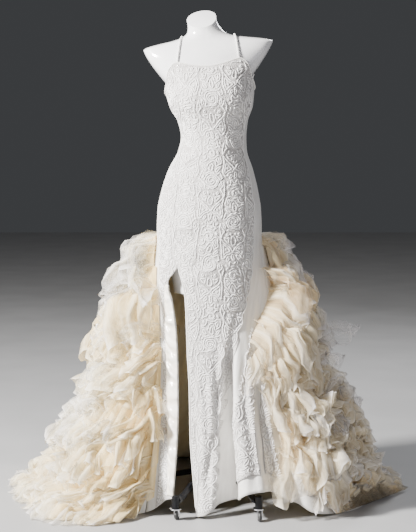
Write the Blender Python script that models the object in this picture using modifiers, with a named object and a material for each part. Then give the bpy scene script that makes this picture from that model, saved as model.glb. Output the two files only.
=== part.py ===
"""Mermaid evening dress on a limbless dress form with a castor base.

Metres, +Z up, the floor at z = 0. The dress faces -Y and its train spreads towards +Y.
The dress is cut from surfaces that are read at an angle round the body (0 at the front,
+90 towards +X, 180 at the centre back) and at a height, or at a step down the skirt.
"""
import math

import bmesh
import bpy
from mathutils import Matrix, Vector

# ---------------------------------------------------------------- driving sizes

AXIS_Y = -0.3350         # the body's axis, so that the whole object is centred on the origin
SATIN = 0.0012           # wall of the satin
LACE = 0.0011            # wall of the corded lace
LACE_GAP = 0.0007        # between the lace and the satin under it
TULLE = 0.0012           # wall of a gathered tulle tier
SEAM = 0.0004            # gap between neighbouring pieces
FORM_EASE = 0.004        # the form lies this far inside the outer face of the satin
SHOULDER_TILT = 0.070    # rise of the shoulder line for each metre towards +X
TILT_FROM, TILT_TO = 1.17, 1.34

# Body that the dress is fitted to, by height.
FIGURE = (
    # height, centre_x, half_width, front_depth, back_depth
    (0.000, 0.0040, 0.1350, 0.104, 0.085),
    (0.300, 0.0040, 0.1400, 0.106, 0.088),
    (0.500, 0.0045, 0.1470, 0.109, 0.098),
    (0.630, 0.0055, 0.1560, 0.112, 0.114),
    (0.750, 0.0055, 0.1635, 0.114, 0.130),
    (0.880, 0.0040, 0.1640, 0.112, 0.141),
    (0.945, 0.0040, 0.1615, 0.108, 0.138),
    (1.005, 0.0055, 0.1505, 0.103, 0.121),
    (1.070, 0.0085, 0.1315, 0.097, 0.098),
    (1.130, 0.0145, 0.1065, 0.093, 0.083),
    (1.170, 0.0175, 0.1015, 0.092, 0.080),
    (1.220, 0.0150, 0.1090, 0.097, 0.085),
    (1.260, 0.0115, 0.1270, 0.102, 0.092),
    (1.315, 0.0060, 0.1380, 0.104, 0.098),
    (1.340, 0.0040, 0.1440, 0.101, 0.099),
    (1.370, 0.0020, 0.1680, 0.096, 0.098),
    (1.400, 0.0010, 0.1950, 0.088, 0.094),
    (1.430, 0.0010, 0.2130, 0.076, 0.086),
    (1.450, 0.0010, 0.2150, 0.062, 0.076),
    (1.462, 0.0000, 0.1750, 0.054, 0.068),
    (1.470, -0.002, 0.1230, 0.051, 0.062),
    (1.480, -0.005, 0.0800, 0.050, 0.057),
    (1.495, -0.009, 0.0590, 0.050, 0.051),
    (1.520, -0.017, 0.0500, 0.052, 0.045),
    (1.600, -0.030, 0.0480, 0.056, 0.038),
)
BUST_ANGLE, BUST_HEIGHT, BUST_RISE = 29.0, 1.287, 0.020
BUST_SPREAD_ANGLE, BUST_SPREAD_HEIGHT = 21.0, 0.045

# Foot of the satin skirt, by angle: where each fold stands at the hem. spread and curl bend the
# way down, and lie is the share of it that lies flat on the floor.
SKIRT_ROWS = 11          # rows from where the skirt leaves the body to its hem
LIE = 2.0 / SKIRT_ROWS
SKIRT = (
    # angle, start_height, foot_x, foot_y, foot_z, spread, curl, lie
    (-180, 0.86, 0.000, 0.800, SATIN, 1.0, 2.0, LIE),
    (-165, 0.86, -0.190, 0.765, SATIN, 1.0, 1.95, LIE),
    (-150, 0.86, -0.370, 0.665, SATIN, 1.0, 1.9, LIE),
    (-135, 0.86, -0.520, 0.490, SATIN, 1.0, 1.7, LIE),
    (-120, 0.86, -0.585, 0.270, SATIN, 1.0, 1.55, LIE),
    (-108, 0.86, -0.515, 0.020, SATIN, 1.0, 1.5, LIE),
    (-96, 0.86, -0.400, -0.140, SATIN, 1.05, 1.5, LIE),
    (-86, 0.84, -0.275, -0.140, SATIN, 1.2, 1.35, LIE),
    (-79, 0.76, -0.195, -0.105, 0.006, 1.4, 1.1, 0.0),
    (-68, 0.62, -0.152, -0.105, 0.028, 1.6, 1.0, 0.0),
    (-56, 0.55, -0.128, -0.118, 0.050, 1.6, 1.0, 0.0),
    (-36, 0.55, -0.100, -0.135, 0.056, 1.6, 1.0, 0.0),
    (-20, 0.55, -0.040, -0.150, 0.006, 1.8, 1.0, 0.0),
    (-8, 0.55, -0.012, -0.168, 0.012, 1.8, 1.0, 0.0),
    (3, 0.55, 0.012, -0.160, 0.026, 1.8, 1.0, 0.0),
    (13, 0.55, 0.036, -0.118, 0.036, 1.6, 1.0, 0.0),
    (22, 0.60, 0.064, -0.130, 0.050, 1.5, 1.0, 0.0),
    (30, 0.62, 0.092, -0.182, 0.066, 1.5, 1.0, 0.0),
    (38, 0.66, 0.126, -0.208, 0.090, 1.5, 1.0, 0.0),
    (45, 0.68, 0.164, -0.206, 0.096, 1.5, 1.0, 0.0),
    (52, 0.70, 0.198, -0.154, 0.084, 1.5, 1.0, 0.0),
    (58, 0.72, 0.237, -0.166, 0.064, 1.45, 1.0, 0.0),
    (65, 0.75, 0.278, -0.125, 0.040, 1.4, 1.0, 0.0),
    (72, 0.78, 0.326, -0.148, 0.016, 1.3, 1.1, 0.0),
    (79, 0.82, 0.395, -0.112, 0.005, 1.2, 1.2, 0.0),
    (88, 0.86, 0.480, -0.030, SATIN, 1.1, 1.3, LIE),
    (100, 0.86, 0.535, 0.100, SATIN, 1.0, 1.3, LIE),
    (115, 0.86, 0.565, 0.290, SATIN, 1.0, 1.4, LIE),
    (135, 0.86, 0.500, 0.510, SATIN, 1.0, 1.7, LIE),
    (150, 0.86, 0.360, 0.675, SATIN, 1.0, 1.9, LIE),
    (165, 0.86, 0.190, 0.765, SATIN, 1.0, 1.95, LIE),
    (180, 0.86, 0.000, 0.800, SATIN, 1.0, 2.0, LIE),
)

# Outside of the tulle, by angle: the same columns, further out and a little higher.
PLUME_RISE, PLUME_FOOT = 0.030, 0.0023
PLUME = (
    # angle, start_out, foot_x, foot_y, spread, curl
    (-180, 0.070, 0.000, 0.890, 1.0, 1.7),
    (-165, 0.070, -0.225, 0.860, 1.0, 1.7),
    (-150, 0.080, -0.440, 0.760, 1.0, 1.6),
    (-135, 0.095, -0.610, 0.570, 1.0, 1.5),
    (-120, 0.110, -0.668, 0.320, 1.0, 1.4),
    (-108, 0.115, -0.605, 0.020, 1.0, 1.35),
    (-96, 0.110, -0.480, -0.215, 1.1, 1.3),
    (-86, 0.075, -0.345, -0.225, 1.2, 1.15),
    (-79, 0.055, -0.255, -0.170, 1.2, 1.0),
    (-68, 0.042, -0.190, -0.165, 1.2, 1.0),
    (-36, 0.020, -0.105, -0.165, 1.4, 1.0),
    (30, 0.020, 0.105, -0.215, 1.4, 1.0),
    (45, 0.040, 0.190, -0.245, 1.2, 1.0),
    (58, 0.045, 0.275, -0.215, 1.2, 1.0),
    (68, 0.048, 0.355, -0.195, 1.1, 1.0),
    (79, 0.055, 0.455, -0.175, 1.0, 1.0),
    (88, 0.062, 0.560, -0.080, 1.0, 1.0),
    (100, 0.068, 0.625, 0.080, 1.0, 1.0),
    (115, 0.070, 0.660, 0.310, 1.0, 1.2),
    (135, 0.070, 0.590, 0.570, 1.0, 1.5),
    (150, 0.070, 0.430, 0.760, 1.0, 1.6),
    (165, 0.070, 0.225, 0.860, 1.0, 1.7),
    (180, 0.070, 0.000, 0.890, 1.0, 1.7),
)

# Top edge of the dress and the lines that the pieces are cut along.
NECKLINE = (
    # angle, height
    (-180, 1.290), (-150, 1.295), (-120, 1.302), (-90, 1.312), (-75, 1.324), (-62, 1.343),
    (-50, 1.364), (-40, 1.386), (-29, 1.402), (-14, 1.390), (0, 1.384), (14, 1.390), (29, 1.402),
    (40, 1.386), (50, 1.364), (62, 1.343), (75, 1.324), (90, 1.312), (120, 1.302), (150, 1.295),
    (180, 1.290),
)
SLIT_FRONT_EDGE = (
    # height, angle
    (0.00, -18.0), (0.10, -21.0), (0.25, -24.5), (0.40, -25.5), (0.55, -27.5), (0.67, -28.0),
    (0.724, -31.0), (0.776, -36.0), (1.45, -36.0),
)
SLIT_FOLD = (
    # height, angle
    (0.00, -42.0), (0.25, -40.0), (0.40, -41.5), (0.58, -43.5), (0.67, -48.0), (0.705, -52.5),
    (0.728, -51.5), (0.752, -43.0), (0.776, -36.0), (1.45, -36.0),
)
FACING_EDGE = (
    # height, angle
    (0.00, -54.0), (0.20, -58.0), (0.40, -65.0), (0.55, -64.5), (0.66, -60.5), (0.702, -58.5),
    (0.728, -52.8),
)
FACING_SECTION = (
    # share of the facing's width, degrees past the fold, lift
    (1.00, 0.00, 0.0040), (0.70, 0.00, 0.0058), (0.35, 0.00, 0.0064), (0.03, 1.20, 0.0050),
    (0.00, 1.40, -0.0008),
)
FACING_HIGH, FACING_LOW = 0.728, 0.064
LACE_EDGE = (
    # height, angle
    (0.00, 3.0), (0.15, 4.0), (0.30, 9.0), (0.37, 15.0), (0.45, 21.0), (0.53, 29.0), (0.60, 38.0),
    (0.70, 47.0), (0.86, 55.0), (1.10, 60.0), (1.22, 62.0), (1.45, 62.0),
)
LACE_SIDE_EDGE = -72.0
SIDE_SEAM = 79.0
# Rows of a panel on the body: shares of the way from the neckline to the skirt's start.
PANEL_ROWS = (0.0, 0.06, 0.123, 0.18, 0.26, 0.34, 0.42, 0.51, 0.60, 0.67, 0.725, 0.79, 0.84, 0.91, 1.0)
ROUGH_HEIGHT = 0.50      # height at which a column's place in the skirt is read
SEAM_TURN = 0.20         # degrees that a cut edge keeps from its seam
FACING_ROWS = 14
NORMAL_TURN, NORMAL_STEP = 0.5, 0.01     # reach over which the way out of the cloth is measured

# Lace laid on the folds of the flare: columns from the lace's edge, and rows up from the hem.
GORES = (
    # first_column, last_column, high_row, low_row, further_out
    (2, 4, 9, 1, 0.0014),
    (5, 6, 6, 1, 0.0014),
    (7, 8, 4, 1, 0.0020),
)

# Tulle tiers: heights where each is sewn on and where it ends, its front corners, and how far
# its sewn edge stands off the faceted satin on each side.
TIERS = (
    # top_height, bottom_height, left_angle, right_angle, left_lift, right_lift
    (0.862, 0.640, -84.0, 84.0, 0.0013, 0.0015),
    (0.765, 0.510, -78.0, 80.0, 0.0034, 0.0018),
    (0.645, 0.390, -73.0, 66.0, 0.0042, 0.0043),
    (0.515, 0.265, -70.0, 53.0, 0.0057, 0.0085),
    (0.385, 0.145, -68.0, 56.0, 0.0069, 0.0081),
    (0.255, 0.065, -69.0, 62.0, 0.0071, 0.0098),
    (0.125, 0.000, -80.0, 70.0, 0.0083, 0.0067),
)
TIER_COLUMNS, TIER_ROWS = 12, 3
TIER_FOLDS = 6               # gathers in each half of a tier
TIER_FOLD_DEPTH = 0.14       # of the way from the skirt to the outside of the tulle
TIER_BILLOW = 0.40           # how quickly a tier swells outwards below its sewn edge
TIER_CALM = 5.0              # the folds fade over this share of a half tier at its ends

# Stand.
FORM_BOTTOM = 0.685
NECK_CAP = (-0.0185, -0.015, 1.525)
NECK_CAP_NORMAL = (-0.15, -0.56, 0.81)
ARM_CAP_HALF, ARM_CAP_HEIGHT, ARM_CAP_TOP, ARM_CAP_SLOPE = 0.137, 1.339, 1.462, 0.62
THIGH_TAPER, THIGH_TOP = 0.72, 0.90
FORM_SIDES = 32
FORM_BUST = 0.55         # of the dress's bust
FORM_RINGS = (
    0.685, 0.76, 0.82, 0.88, 0.94, 1.00, 1.06, 1.12, 1.17, 1.22, 1.26, 1.30, 1.34, 1.37, 1.40,
    1.43, 1.45, 1.458, 1.464, 1.470, 1.476, 1.483, 1.495, 1.52, 1.60,
)
FLANGE_RADIUS, FLANGE_THICKNESS = 0.040, 0.010
LEG_RADIUS = 0.0105
LEG_DROOP = (
    # share of the way out, height
    (0.0, 0.104), (0.1, 0.104), (0.35, 0.103), (0.6, 0.093), (0.8, 0.073), (0.93, 0.062), (1.0, 0.062),
)
POLE_X = 0.028
POLE_RADIUS = 0.0125
HUB_RADIUS, HUB_LOW, HUB_HIGH, HUB_CHAMFER = 0.032, 0.075, 0.125, 0.004
CASTOR_REACH = 0.2169
CASTORS = (
    # station_angle, trail_heading
    (-36.0, 70.0), (36.0, -80.0), (108.0, 150.0), (180.0, 100.0), (-108.0, -130.0),
)
SOCKET_RADIUS, SOCKET_LOW, SOCKET_HIGH, SOCKET_CHAMFER = 0.0115, 0.0398, 0.078, 0.003
STEM_RADIUS, STEM_TOP = 0.0040, 0.066
STEM_CLEARANCE = 0.0005
PLATE_RADIUS, PLATE_LOW, PLATE_HIGH = 0.0185, 0.0364, 0.0394
WHEEL_RADIUS, WHEEL_WIDTH = 0.0155, 0.0100
WHEEL_SHOULDER, TREAD_WIDTH = 0.0130, 0.0045
WHEEL_BORE, AXLE_RADIUS = 0.0026, 0.0020
TRAIL = 0.0120
CHEEK_GAP, CHEEK, CHEEK_LENGTH, CHEEK_BELOW = 0.0008, 0.0020, 0.0110, 0.0050
PLATE_BITE = 0.0010

# Spaghetti straps.
STRAP_RADIUS = 0.0022
STRAP_LIFT = STRAP_RADIUS + 0.0016
STRAP_FRONT_ANGLE, STRAP_BACK_ANGLE = 29.0, 148.0
STRAP_BASE_X, STRAP_TOP_X, STRAP_BACK_X = 0.093, 0.080, 0.068
STRAP_END_GAP = 0.0028
STRAP_POINTS = 9

# ---------------------------------------------------------------- reading the tables


def between(rows, key):
    """Each value of a table at a key, along a smooth curve that never overshoots its rows."""
    last = len(rows) - 2
    index = 0
    while index < last and rows[index + 1][0] < key:
        index += 1
    low = rows[index]
    high = rows[index + 1]
    before = rows[max(index - 1, 0)]
    after = rows[min(index + 2, len(rows) - 1)]
    span = high[0] - low[0]
    part = min(max((key - low[0]) / span, 0.0), 1.0)
    values = []
    for column in range(1, len(low)):
        rise = (high[column] - low[column]) / span
        start = even_slope(grade(before, low, column, rise), rise)
        end = even_slope(rise, grade(high, after, column, rise))
        values.append(hermite(low[column], high[column], start * span, end * span, part))
    return values


def grade(low, high, column, fallback):
    """Rise of a column between two rows, or a fallback at the table's end."""
    if low is high:
        return fallback
    return (high[column] - low[column]) / (high[0] - low[0])


def even_slope(first, second):
    """Harmonic mean of two slopes, flat where they turn."""
    if first * second <= 0.0:
        return 0.0
    return 2.0 * first * second / (first + second)


def hermite(start, end, start_rise, end_rise, part):
    """Cubic from start to end with the given rises."""
    square = part * part
    cube = square * part
    return (
        start * (2.0 * cube - 3.0 * square + 1.0)
        + start_rise * (cube - 2.0 * square + part)
        + end * (3.0 * square - 2.0 * cube)
        + end_rise * (cube - square)
    )


def mix(start, end, part):
    """Straight blend of two numbers or vectors."""
    return start * (1.0 - part) + end * part


def ramp(value, low, high):
    """0 below low, 1 above high and smooth between."""
    part = min(max((value - low) / (high - low), 0.0), 1.0)
    return part * part * (3.0 - 2.0 * part)


# ---------------------------------------------------------------- surfaces


def body(angle, height, lift=0.0, bust=1.0):
    """Point of the fitted body, lifted off it."""
    centre_x, half_width, front, back = between(FIGURE, height)
    turn = math.radians(angle)
    side = math.sin(turn)
    ahead = math.cos(turn)
    depth = front if ahead > 0.0 else back
    for bust_angle in (-BUST_ANGLE, BUST_ANGLE):
        across = (angle - bust_angle) / BUST_SPREAD_ANGLE
        along = (height - BUST_HEIGHT) / BUST_SPREAD_HEIGHT
        lift += bust * BUST_RISE * math.exp(-0.5 * (across * across + along * along))
    x = centre_x + (half_width + lift) * side
    y = -(depth + lift) * ahead
    z = height + SHOULDER_TILT * x * ramp(height, TILT_FROM, TILT_TO)
    return Vector((x, y + AXIS_Y, z))


def fall(start, foot, curl, lie, step):
    """Height at a step down the skirt."""
    part = min(step / (1.0 - lie), 1.0)
    return foot + (start - foot) * (1.0 - part) ** curl


def skirt(angle, step):
    """Point of the satin skirt: step 0 is where it leaves the body and 1 is its hem."""
    start, foot_x, foot_y, foot_z, spread, curl, lie = between(SKIRT, angle)
    height = fall(start, foot_z, curl, lie, step)
    on_body = body(angle, height)
    away = step ** spread
    foot = Vector((foot_x, foot_y + AXIS_Y, height))
    return mix(on_body, foot, away)


def step_at(angle, height):
    """Step down the skirt at a height, negative above the place where it leaves the body."""
    start, _, _, foot_z, _, curl, lie = between(SKIRT, angle)
    if height >= start:
        return start - height
    if height <= foot_z:
        return 1.0
    share = (height - foot_z) / (start - foot_z)
    return (1.0 - share ** (1.0 / curl)) * (1.0 - lie)


def dress(angle, step):
    """Point of the dress: steps below 0 climb the body, a metre for each step."""
    if step <= 0.0:
        start = between(SKIRT, angle)[0]
        return body(angle, start - step)
    return skirt(angle, min(step, 1.0))


def dress_normal(angle, step):
    """Direction out of the dress."""
    low = min(step + NORMAL_STEP, 1.0)
    across = dress(angle + NORMAL_TURN, step) - dress(angle - NORMAL_TURN, step)
    up = dress(angle, low - 2.0 * NORMAL_STEP) - dress(angle, low)
    return across.cross(up).normalized()


def lifted(angle, step, lift):
    """Point of the dress moved out of it."""
    if lift == 0.0:
        return dress(angle, step)
    return dress(angle, step) + dress_normal(angle, step) * lift


def plume(angle, step):
    """Point of the tulle's outside beside the same step of the skirt."""
    start_out, foot_x, foot_y, spread, curl = between(PLUME, angle)
    start = between(SKIRT, angle)[0] + PLUME_RISE
    if step <= 0.0:
        return body(angle, start - step, start_out)
    height = fall(start, PLUME_FOOT, curl, 0.0, step)
    on_body = body(angle, height, start_out)
    foot = Vector((foot_x, foot_y + AXIS_Y, height))
    return mix(on_body, foot, step ** spread)


# ---------------------------------------------------------------- building


def clear_scene():
    """Start from an empty file."""
    for thing in list(bpy.data.objects):
        bpy.data.objects.remove(thing, do_unlink=True)


def collection(name):
    """A collection of the scene."""
    group = bpy.data.collections.new(name)
    bpy.context.scene.collection.children.link(group)
    return group


def finish(name, colour, roughness, metallic=0.0):
    """A plain Principled material."""
    material = bpy.data.materials.new(name)
    material.use_nodes = True
    shader = material.node_tree.nodes["Principled BSDF"]
    shader.inputs["Base Color"].default_value = (*colour, 1.0)
    shader.inputs["Roughness"].default_value = roughness
    shader.inputs["Metallic"].default_value = metallic
    material.diffuse_color = (*colour, 1.0)
    return material


def add(name, mesh, material, group, smooth=True):
    """An object of the model."""
    thing = bpy.data.objects.new(name, mesh)
    group.objects.link(thing)
    if not mesh.materials:
        mesh.materials.append(material)
    if smooth:
        mesh.shade_smooth()
        mesh.set_sharp_from_angle(angle=math.radians(40.0))
    return thing


def cloth(name, columns, rows, place, thickness, material, group, even=True):
    """A wall of cloth: a grid moved to place(across, up), then thickened inwards."""
    sheet = bmesh.new()
    bmesh.ops.create_grid(sheet, x_segments=columns, y_segments=rows, size=0.5)
    for vertex in sheet.verts:
        vertex.co = place(vertex.co.x + 0.5, vertex.co.y + 0.5)
    mesh = bpy.data.meshes.new(name)
    sheet.to_mesh(mesh)
    sheet.free()
    thing = add(name, mesh, material, group)
    wall = thing.modifiers.new("wall", "SOLIDIFY")
    wall.thickness = thickness
    wall.offset = -1.0
    wall.use_even_offset = even
    wall.use_quality_normals = True
    return thing


def panel(lines, counts, lift=0.0):
    """A placing function for a panel between cutting lines.

    lines are functions of height that give an angle, and counts the columns between them.
    """
    total = sum(counts)
    above = len(PANEL_ROWS) - 1

    def angle_at(column, height):
        left = 0
        for index, count in enumerate(counts):
            if column <= left + count:
                part = (column - left) / count
                return mix(lines[index](height), lines[index + 1](height), part)
            left += count
        return lines[-1](height)

    def place(across, up):
        column = round(across * total)
        row = round((1.0 - up) * (above + SKIRT_ROWS))
        rough = angle_at(column, ROUGH_HEIGHT)
        start, _, _, foot_z, _, curl, lie = between(SKIRT, rough)
        if row > above:
            step = (row - above) / SKIRT_ROWS
            angle = angle_at(column, fall(start, foot_z, curl, lie, step))
            return lifted(angle, step, lift)
        top = between(NECKLINE, angle_at(column, NECKLINE[0][1]))[0]
        height = mix(top, start, PANEL_ROWS[row])
        angle = angle_at(column, height)
        return lifted(angle, step_at(angle, height), lift)

    return place


def window(place, left, right, low, high):
    """The part of a placing function between two shares each way."""
    return lambda across, up: place(mix(left, right, across), mix(low, high, up))


def line(rows):
    """A cutting line read from its table."""
    return lambda height: between(rows, height)[0]


def straight(angle):
    """A cutting line at one angle."""
    return lambda height: angle


def nudged(cut, degrees):
    """A cutting line moved round the body."""
    return lambda height: cut(height) + degrees


FRONT_LINES = [nudged(line(SLIT_FRONT_EDGE), SEAM_TURN), line(LACE_EDGE), straight(SIDE_SEAM - SEAM_TURN)]
FRONT_COLUMNS = [9, 8]
SIDE_LINES = [straight(-SIDE_SEAM + SEAM_TURN), straight(LACE_SIDE_EDGE), nudged(line(SLIT_FOLD), -SEAM_TURN)]
SIDE_COLUMNS = [1, 4]
BACK_COLUMNS = 10
ROWS = len(PANEL_ROWS) - 1 + SKIRT_ROWS


def make_satin(group, satin):
    """The satin panels that carry the lace and the tulle."""
    place = panel(FRONT_LINES, FRONT_COLUMNS)
    cloth("satin_front", sum(FRONT_COLUMNS), ROWS, place, SATIN, satin, group)
    place = panel(SIDE_LINES, SIDE_COLUMNS)
    cloth("satin_side_left", sum(SIDE_COLUMNS), ROWS, place, SATIN, satin, group)
    middle = SEAM_TURN
    place = panel([straight(middle - 180.0), straight(-SIDE_SEAM - SEAM_TURN)], [BACK_COLUMNS])
    cloth("satin_back_left", BACK_COLUMNS, ROWS, place, SATIN, satin, group)
    place = panel([straight(SIDE_SEAM + SEAM_TURN), straight(180.0 - middle)], [BACK_COLUMNS])
    cloth("satin_back_right", BACK_COLUMNS, ROWS, place, SATIN, satin, group)


def make_facing(group, satin):
    """The slit's facing, rolled over the fold and laid back on the side front."""
    fold = line(SLIT_FOLD)
    edge = line(FACING_EDGE)
    columns = len(FACING_SECTION) - 1

    def place(across, up):
        share, past, lift = FACING_SECTION[round(across * columns)]
        height = mix(FACING_LOW, FACING_HIGH, up)
        angle = mix(fold(height), edge(height), share) + past
        return lifted(angle, step_at(angle, height), lift)

    cloth("slit_facing", columns, FACING_ROWS, place, SATIN, satin, group)


def make_lace(group, lace):
    """Lace laid on the satin, made from the same points moved out."""
    lift = LACE_GAP + LACE
    front = panel(FRONT_LINES, FRONT_COLUMNS, lift)
    total = sum(FRONT_COLUMNS)
    edge = FRONT_COLUMNS[0] / total
    place = window(front, 0.0, edge, 0.0, 1.0)
    cloth("lace_front", FRONT_COLUMNS[0], ROWS, place, LACE, lace, group)
    side = panel(SIDE_LINES, SIDE_COLUMNS, lift)
    place = window(side, SIDE_COLUMNS[0] / sum(SIDE_COLUMNS), 1.0, 0.0, 1.0)
    cloth("lace_side_left", SIDE_COLUMNS[1], ROWS, place, LACE, lace, group)
    for number, (first, last, high, low, further) in enumerate(GORES, start=1):
        front = panel(FRONT_LINES, FRONT_COLUMNS, lift + further)
        left = (FRONT_COLUMNS[0] + first) / total
        right = (FRONT_COLUMNS[0] + last) / total
        place = window(front, left, right, low / ROWS, high / ROWS)
        cloth(f"lace_gore_{number}", last - first, high - low, place, LACE, lace, group)


def make_tulle(group, tulle):
    """Tiers of gathered tulle, each in two halves that meet at the centre back."""
    for number, (top, bottom, left, right, left_lift, right_lift) in enumerate(TIERS, start=1):
        sides = (("left", -180.0, left, left_lift), ("right", right, 180.0, right_lift))
        for side, start, end, lift in sides:
            place = tier(top, bottom, start, end, lift)
            name = f"tulle_{number}_{side}"
            cloth(name, TIER_COLUMNS, TIER_ROWS, place, TULLE, tulle, group, even=False)


def tier(top, bottom, start, end, lift):
    """A placing function for half a tier between two angles, its top edge sewn to the satin."""
    inset = 2.0 * SEAM_TURN

    def place(across, up):
        angle = mix(start + inset, end - inset, across)
        down = 1.0 - up
        step = mix(step_at(angle, top), step_at(angle, bottom), down)
        out = down ** TIER_BILLOW
        calm = min(1.0, TIER_CALM * min(across, 1.0 - across))
        out += TIER_FOLD_DEPTH * calm * down * math.cos(math.tau * TIER_FOLDS * across)
        return mix(lifted(angle, step, lift), plume(angle, step), out)

    return place


def form_point(angle, height):
    """Point of the dress form, inside the dress, with its thighs drawn in and its arms cut flat."""
    point = body(angle, height, -FORM_EASE, FORM_BUST)
    centre_x = between(FIGURE, height)[0]
    taper = mix(THIGH_TAPER, 1.0, ramp(height, FORM_BOTTOM, THIGH_TOP))
    point.x = centre_x + (point.x - centre_x) * taper
    point.y = AXIS_Y + (point.y - AXIS_Y) * taper
    if ARM_CAP_HEIGHT < height < ARM_CAP_TOP:
        limit = ARM_CAP_HALF + (height - ARM_CAP_HEIGHT) * ARM_CAP_SLOPE
        cut_x = min(max(point.x, -limit), limit)
        point.z += SHOULDER_TILT * (cut_x - point.x)
        point.x = cut_x
    return point


def make_form(group, gloss):
    """The limbless form: rings lofted from the thighs to the neck, the neck cut by a slanted cap."""
    shell = bmesh.new()
    rings = len(FORM_RINGS) - 1
    bmesh.ops.create_grid(shell, x_segments=FORM_SIDES, y_segments=rings, size=0.5)
    for vertex in shell.verts:
        ring = round((vertex.co.y + 0.5) * rings)
        angle = 360.0 * (vertex.co.x + 0.5) - 180.0
        vertex.co = form_point(angle, FORM_RINGS[ring])
    bmesh.ops.remove_doubles(shell, verts=shell.verts, dist=1e-5)
    centre = Vector(NECK_CAP) + Vector((0.0, AXIS_Y, 0.0))
    everything = shell.verts[:] + shell.edges[:] + shell.faces[:]
    bmesh.ops.bisect_plane(
        shell, geom=everything, plane_co=centre, plane_no=Vector(NECK_CAP_NORMAL), clear_outer=True)
    rims = [edge for edge in shell.edges if edge.is_boundary]
    bmesh.ops.holes_fill(shell, edges=rims, sides=0)
    bmesh.ops.recalc_face_normals(shell, faces=shell.faces)
    mesh = bpy.data.meshes.new("form")
    shell.to_mesh(mesh)
    shell.free()
    add("form", mesh, gloss, group)


def strap_route(side):
    """Middle of a strap: up the front of the shoulder, over it and down the back."""
    front = between(NECKLINE, STRAP_FRONT_ANGLE)[0] + STRAP_END_GAP
    back = between(NECKLINE, STRAP_BACK_ANGLE)[0] + STRAP_END_GAP
    top = shoulder_height(STRAP_TOP_X * side)
    skin = []
    for index in range(STRAP_POINTS + 1):
        share = index / STRAP_POINTS
        height = mix(front, top, math.sin(share * math.pi / 2.0))
        skin.append(skin_point(height, mix(STRAP_BASE_X, STRAP_TOP_X, share) * side, 1.0))
    for index in range(1, STRAP_POINTS + 1):
        share = index / STRAP_POINTS
        height = mix(top, back, 1.0 - math.cos(share * math.pi / 2.0))
        skin.append(skin_point(height, mix(STRAP_TOP_X, STRAP_BACK_X, share) * side, -1.0))
    route = []
    for index, point in enumerate(skin):
        along = skin[min(index + 1, len(skin) - 1)] - skin[max(index - 1, 0)]
        out = Vector((0.0, -along.z, along.y)).normalized()
        route.append(point + out * STRAP_LIFT)
    return route


def shoulder_height(x):
    """Height at which the form's shoulder passes under a given x."""
    low, high = ARM_CAP_TOP, NECK_CAP[2]
    while high - low > SEAM:
        middle = (low + high) / 2.0
        centre_x, half_width = between(FIGURE, middle)[:2]
        if half_width - FORM_EASE > abs(x - centre_x):
            low = middle
        else:
            high = middle
    return high


def skin_point(height, x, ahead):
    """Point of the form's skin at a height and x, in front (1) or behind (-1)."""
    centre_x, half_width, front, back = between(FIGURE, height)
    depth = (front if ahead > 0.0 else back) - FORM_EASE
    across = min(abs(x - centre_x) / (half_width - FORM_EASE), 1.0)
    y = AXIS_Y - ahead * depth * math.sqrt(1.0 - across * across)
    z = height + SHOULDER_TILT * x * ramp(height, TILT_FROM, TILT_TO)
    return Vector((x, y, z))


def tube(name, route, radius, material, group):
    """A round tube along a route, with filled ends."""
    curve = bpy.data.curves.new(name, "CURVE")
    curve.dimensions = "3D"
    curve.bevel_depth = radius
    curve.bevel_resolution = 1
    curve.use_fill_caps = True
    spline = curve.splines.new("POLY")
    spline.points.add(len(route) - 1)
    for point, place in zip(spline.points, route):
        point.co = (*place, 1.0)
    thing = bpy.data.objects.new(name, curve)
    group.objects.link(thing)
    curve.materials.append(material)
    return thing


def turned(name, profile, steps, material, group, location, ring=False):
    """A turned piece: a profile of (radius, height) spun about Z, closed on itself for a ring."""
    mesh = bpy.data.meshes.new(name)
    ends = [(index, index + 1) for index in range(len(profile) - 1)]
    if ring:
        ends.append((len(profile) - 1, 0))
    mesh.from_pydata([(radius, 0.0, height) for radius, height in profile], ends, [])
    thing = add(name, mesh, material, group, smooth=False)
    screw = thing.modifiers.new("turn", "SCREW")
    screw.steps = steps
    screw.render_steps = steps
    screw.use_merge_vertices = True
    screw.merge_threshold = 0.00005
    screw.use_smooth_shade = True
    thing.location = location
    return thing


def make_pole(group, black):
    """The pole, the plate under the form and the hub that the legs run into."""
    foot = Vector((POLE_X, AXIS_Y, 0.0))
    top = FORM_BOTTOM - SEAM
    low = top - FLANGE_THICKNESS
    turned("form_flange", [(0.0, top), (FLANGE_RADIUS, top), (FLANGE_RADIUS, low), (0.0, low)],
           24, black, group, foot)
    pole_top = low - SEAM
    pole_low = HUB_HIGH + SEAM
    turned("pole", [(0.0, pole_top), (POLE_RADIUS, pole_top), (POLE_RADIUS, pole_low), (0.0, pole_low)],
           16, black, group, foot)
    narrow = HUB_RADIUS - HUB_CHAMFER
    profile = [
        (0.0, HUB_HIGH), (narrow, HUB_HIGH), (HUB_RADIUS, HUB_HIGH - HUB_CHAMFER),
        (HUB_RADIUS, HUB_LOW + HUB_CHAMFER), (narrow, HUB_LOW), (0.0, HUB_LOW),
    ]
    turned("hub", profile, 24, black, group, foot)


def make_legs(group, black):
    """Five legs that droop from the hub to the castor sockets."""
    for number, (station, _) in enumerate(CASTORS, start=1):
        turn = math.radians(station)
        out = Vector((math.sin(turn), -math.cos(turn), 0.0))
        foot = Vector((POLE_X, AXIS_Y, 0.0))
        reach = CASTOR_REACH - SOCKET_RADIUS - SEAM / 2.0
        route = [foot + out * (HUB_RADIUS + SEAM) + Vector((0.0, 0.0, LEG_DROOP[0][1]))]
        for share, height in LEG_DROOP[1:]:
            route.append(foot + out * mix(HUB_RADIUS + SEAM, reach, share) + Vector((0.0, 0.0, height)))
        tube(f"leg_{number}", route, LEG_RADIUS, black, group)


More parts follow.
